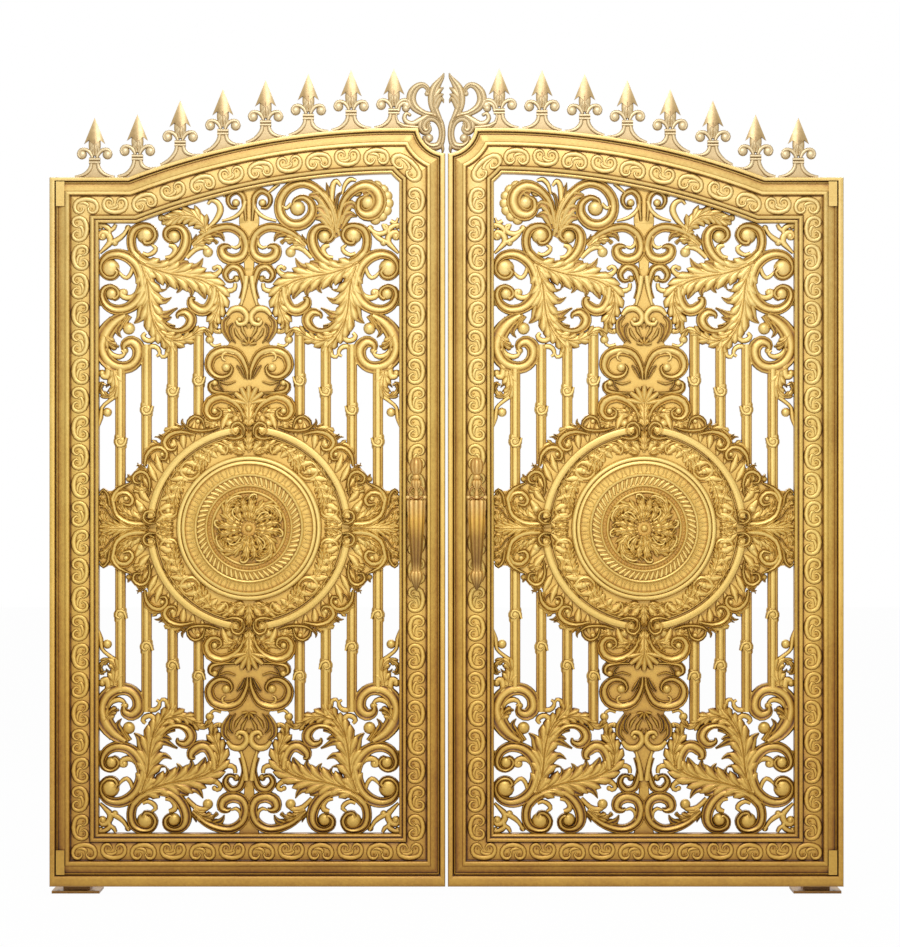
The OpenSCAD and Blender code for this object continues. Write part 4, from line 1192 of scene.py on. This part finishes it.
def makeGold(name, sizes, carved=True):
    p = Paint(name)
    place = p.node("TexCoord", output=3)
    relief = p.node("Attribute", {"attribute_name": "relief"}, output=2) if carved else sizes["plain"]
    cloud = p.node("TexNoise", sockets={"Vector": place, "Scale": 6.0, "Detail": 3.0})
    speck = p.node("TexNoise", sockets={"Vector": place, "Scale": sizes["castGrain"], "Detail": 2.0})
    # glaze in the hollows, and painted shade where pieces meet and overlap
    hollow = p.node("AmbientOcclusion", {"samples": 8, "only_local": False},
                    {"Distance": sizes["glazeAndShadeReach"]}, output=1)
    height = p.node("SeparateXYZ", sockets={"Vector": place}, output=2)
    # painted shade below 1.3 m and painted light above 1.6 m
    low = p.node("MapRange", sockets={"Value": height, "From Min": 0.2, "From Max": 1.3, "To Min": -0.1,
                                      "To Max": 0.0})
    high = p.node("MapRange", sockets={"Value": height, "From Min": 1.6, "From Max": 2.9, "To Min": 0.0,
                                       "To Max": 0.06})
    # the carving's painted highlights and shade, glaze and painted shade in the hollows, random mottling, and
    # painted light and shade by height
    tone = relief * 0.56 + hollow * 0.4 + (cloud - 0.5) * 0.22 + (speck - 0.5) * 0.2 + low + high
    # the ramp runs from glaze and painted shade up through ochre and gold to the pale painted highlight
    colour = p.node("ValToRGB", {"stops": [
        (0.2, sizes["glazeAndShade"]), (0.42, sizes["ochre"]), (0.68, sizes["gold"]), (1.0, sizes["light"])]},
        {"Fac": tone})
    # painted light by height: shaded toward the ground, paler toward the top
    share = p.node("MapRange", sockets={"Value": height, "From Min": 0.0, "From Max": 3.0})
    tint = p.node("ValToRGB", {"stops": sizes["tints"]}, {"Fac": share})
    p.feed("Base Color", p.node("VectorMath", {"operation": "MULTIPLY"}, {0: colour, 1: tint}))
    p.feed("Metallic", sizes["metallic"])
    p.feed("Roughness", sizes["roughness"] + (speck - 0.5) * 0.25)
    bump = p.node("Bump", sockets={"Height": speck, "Strength": 0.12, "Distance": 0.002})
    p.feed("Normal", bump)
    return p.material


gold = makeGold("antiqueGold", goldPaint)
# the frame's painted light by height, paler still at the top
frameGold = makeGold("frameGold", {**goldPaint, "tints": [(0.0, (0.8, 0.75, 0.5, 1)),
                                                          (0.24, (0.88, 0.84, 0.6, 1)),
                                                          (0.46, (1.0, 1.08, 1.05, 1)),
                                                          (0.62, (0.98, 1.08, 1.2, 1)),
                                                          (0.85, (0.92, 1.02, 1.35, 1))]})
# paler gold for the spears and crest: partly their own paler paint, partly painted light where the top of the
# gate is lit
paleGold = makeGold("paleGold", {**goldPaint, "glazeAndShade": linear(126, 90, 42), "ochre": linear(176, 144, 90),
                                 "gold": linear(196, 166, 112), "light": linear(214, 188, 138)})
bronze = makeGold("antiqueBronze", {
    **goldPaint, "glazeAndShade": linear(84, 46, 8), "ochre": linear(150, 100, 28), "gold": linear(200, 156, 76),
    # pale and dark bands up the handle, darker below: share of 3 m, colour
    "tints": [(0.385, (0.34, 0.28, 0.16, 1)), (0.402, (0.95, 0.92, 0.9, 1)), (0.416, (0.36, 0.29, 0.16, 1)),
              (0.446, (0.5, 0.42, 0.24, 1)), (0.468, (0.95, 0.86, 0.5, 1)), (0.487, (0.98, 0.98, 1.1, 1)),
              (0.52, (1.0, 1.0, 1.1, 1)), (0.545, (0.8, 0.72, 0.66, 1))]})
plainGold = makeGold("plainGold", goldPaint, carved=False)
paintedSteel = makeGold("paintedSteel", {**goldPaint, "plain": 0.5}, carved=False)
richGold = makeGold("richGold", {**goldPaint, "glazeAndShade": linear(112, 68, 14), "ochre": linear(174, 124, 42),
                                 "gold": linear(210, 168, 82)})


def makeSteel(name, colour):
    p = Paint(name)
    grain = p.node("TexNoise", sockets={"Vector": p.node("TexCoord", output=3), "Scale": 60.0, "Detail": 3.0})
    p.feed("Base Color", colour)
    p.feed("Metallic", 1.0)
    p.feed("Roughness", 0.3 + grain * 0.25)
    return p.material


bareSteel = makeSteel("bareSteel", linear(168, 166, 160))
plainNodes = {
    "hinge_covers": plainGold, "hinge_eyes": paintedSteel, "hinge_pins": bareSteel,
    "post": paintedSteel, "post_cap": paintedSteel, "foot_plate": paintedSteel,
}
for side in ("left", "right"):
    for node, material in plainNodes.items():
        mesh = bpy.data.objects[side + "_" + node].data
        mesh.materials.clear()
        mesh.materials.append(material)
print("materials ready")

# frame pieces
kidneyMotif = kidneyShape()
for member in ("hinge_stile", "meeting_stile", "top_rail", "bottom_rail"):
    shape = frameMember(member)
    bandReliefs(member, shape, kidneyMotif)
    build(member, shape, frameGold, 40, "_moulded")
print("frame moulded")



def up(q):
    return q * [1, 1, -1] + [0, 0, 2 * medH]


one = quarterShape()
for name, turn in (("lower_scrollwork", None), ("upper_scrollwork", up)):
    both = Shape()
    both.join(one, lambda q: q + [midU + axisGap, 0, bandH])
    both.join(one, lambda q: q * [-1, 1, 1] + [midU - axisGap, 0, bandH], flip=True)
    whole = Shape()
    whole.join(both, turn, flip=turn is not None)
    if turn:
        whole.join(archShape())
    build(name, whole, gold)
print("scrollwork carved")

for name, sign in (("lower_column", -1), ("upper_column", 1)):
    whole = Shape()
    whole.join(columnShape(sign > 0), lambda q: q * [1, 1, sign] + [midU, 0, medH], flip=sign < 0)
    build(name, whole, gold)

one = barsShape()
for name, turn in (("lower_bars", None), ("upper_bars", up)):
    both = Shape()
    both.join(one, lambda q: q + [midU, 0, bandH])
    both.join(one, lambda q: q * [-1, 1, 1] + [midU, 0, bandH], flip=True)
    whole = Shape()
    whole.join(both, turn, flip=turn is not None)
    build(name, whole, gold)

for name, make in (("medallion_plate", plateShape), ("plate_ring", ringShape), ("medallion", medallionShape),
                   ("rosette", rosetteShape)):
    whole = Shape()
    whole.join(make(), lambda q: q + [midU, 0, medH])
    build(name, whole, richGold)
print("medallion carved")

build("spears", spearRow(), paleGold, 35)
build("corner_crest", crestShape(), paleGold)
build("handle", handleShape(), bronze)
print("cresting and handles made")

# camera, floor and light
view = {"distance": 14.0, "across": 1.409, "up": leaf["bottom"] + 1.5506, "tall": 3.55125}
camera = bpy.data.cameras.new("camera")
camera.lens = 36 * view["distance"] / view["tall"]
camera.clip_end = 200
cameraObject = bpy.data.objects.new("camera", camera)
bpy.context.scene.collection.objects.link(cameraObject)
cameraObject.location = (view["across"], leaf["midY"] - 0.04 - view["distance"], view["up"])
cameraObject.rotation_euler = (math.pi / 2, 0, 0)
bpy.context.scene.camera = cameraObject
bpy.context.scene.view_settings.view_transform = "Standard"


def seenRays(tree):
    # 1 for what the camera, a reflection or a clear piece looks at
    path = tree.nodes.new("ShaderNodeLightPath")
    rays = [Value(tree, path.outputs[name]) for name in ("Is Camera Ray", "Is Glossy Ray",
                                                         "Is Transmission Ray")]
    return rays[0].maths("MAXIMUM", rays[1]).maths("MAXIMUM", rays[2])


def whiteWhenSeen(material, base, seen):
    # seen straight on it is mostly plain white, so it joins the white world and keeps a soft shadow
    tree = material.node_tree
    shader = tree.nodes["Principled BSDF"]
    shader.inputs["Base Color"].default_value = base
    shader.inputs["Roughness"].default_value = 0.9
    glow = tree.nodes.new("ShaderNodeEmission")
    glow.inputs["Color"].default_value = (1, 1, 1, 1)
    mix = tree.nodes.new("ShaderNodeMixShader")
    share = seenRays(tree) * seen
    tree.links.new(share.socket, mix.inputs[0])
    tree.links.new(shader.outputs[0], mix.inputs[1])
    tree.links.new(glow.outputs[0], mix.inputs[2])
    tree.links.new(mix.outputs[0], tree.nodes["Material Output"].inputs["Surface"])


floorPaint = bpy.data.materials.new("paleFloor")
floorPaint.use_nodes = True
whiteWhenSeen(floorPaint, (0.85, 0.84, 0.82, 1), 0.98)
bpy.ops.mesh.primitive_plane_add(size=60, location=(1.4, 0, -0.001))
floor = bpy.context.active_object
floor.name = "floor"
floor.data.materials.append(floorPaint)

world = bpy.data.worlds.new("studio")
bpy.context.scene.world = world
world.use_nodes = True
w = world.node_tree
background = w.nodes["Background"]
background.inputs["Color"].default_value = (1, 0.98, 0.95, 1)
background.inputs["Strength"].default_value = 0.3
white = w.nodes.new("ShaderNodeBackground")
white.inputs["Color"].default_value = (1, 1, 1, 1)
mix = w.nodes.new("ShaderNodeMixShader")
w.links.new(seenRays(w).socket, mix.inputs[0])
w.links.new(background.outputs[0], mix.inputs[1])
w.links.new(white.outputs[0], mix.inputs[2])
w.links.new(mix.outputs[0], w.nodes["World Output"].inputs["Surface"])


def addLamp(name, place, aim, size, power):
    lamp = bpy.data.lights.new(name, "AREA")
    lamp.shape = "RECTANGLE"
    lamp.size, lamp.size_y = size
    lamp.energy = power
    holder = bpy.data.objects.new(name, lamp)
    bpy.context.scene.collection.objects.link(holder)
    holder.location = place
    holder.rotation_euler = (Vector(aim) - Vector(place)).to_track_quat("-Z", "Y").to_euler()


addLamp("keyLight", (1.4, -4.0, 4.8), (1.4, 0, 1.6), (2.6, 1.0), 190)
addLamp("fillLight", (1.4, -7.0, 1.6), (1.4, 0, 1.4), (4.0, 2.5), 80)
addLamp("backLight", (1.4, 5.0, 5.0), (1.4, 0, 1.6), (5.0, 2.0), 160)
print("camera and light set")
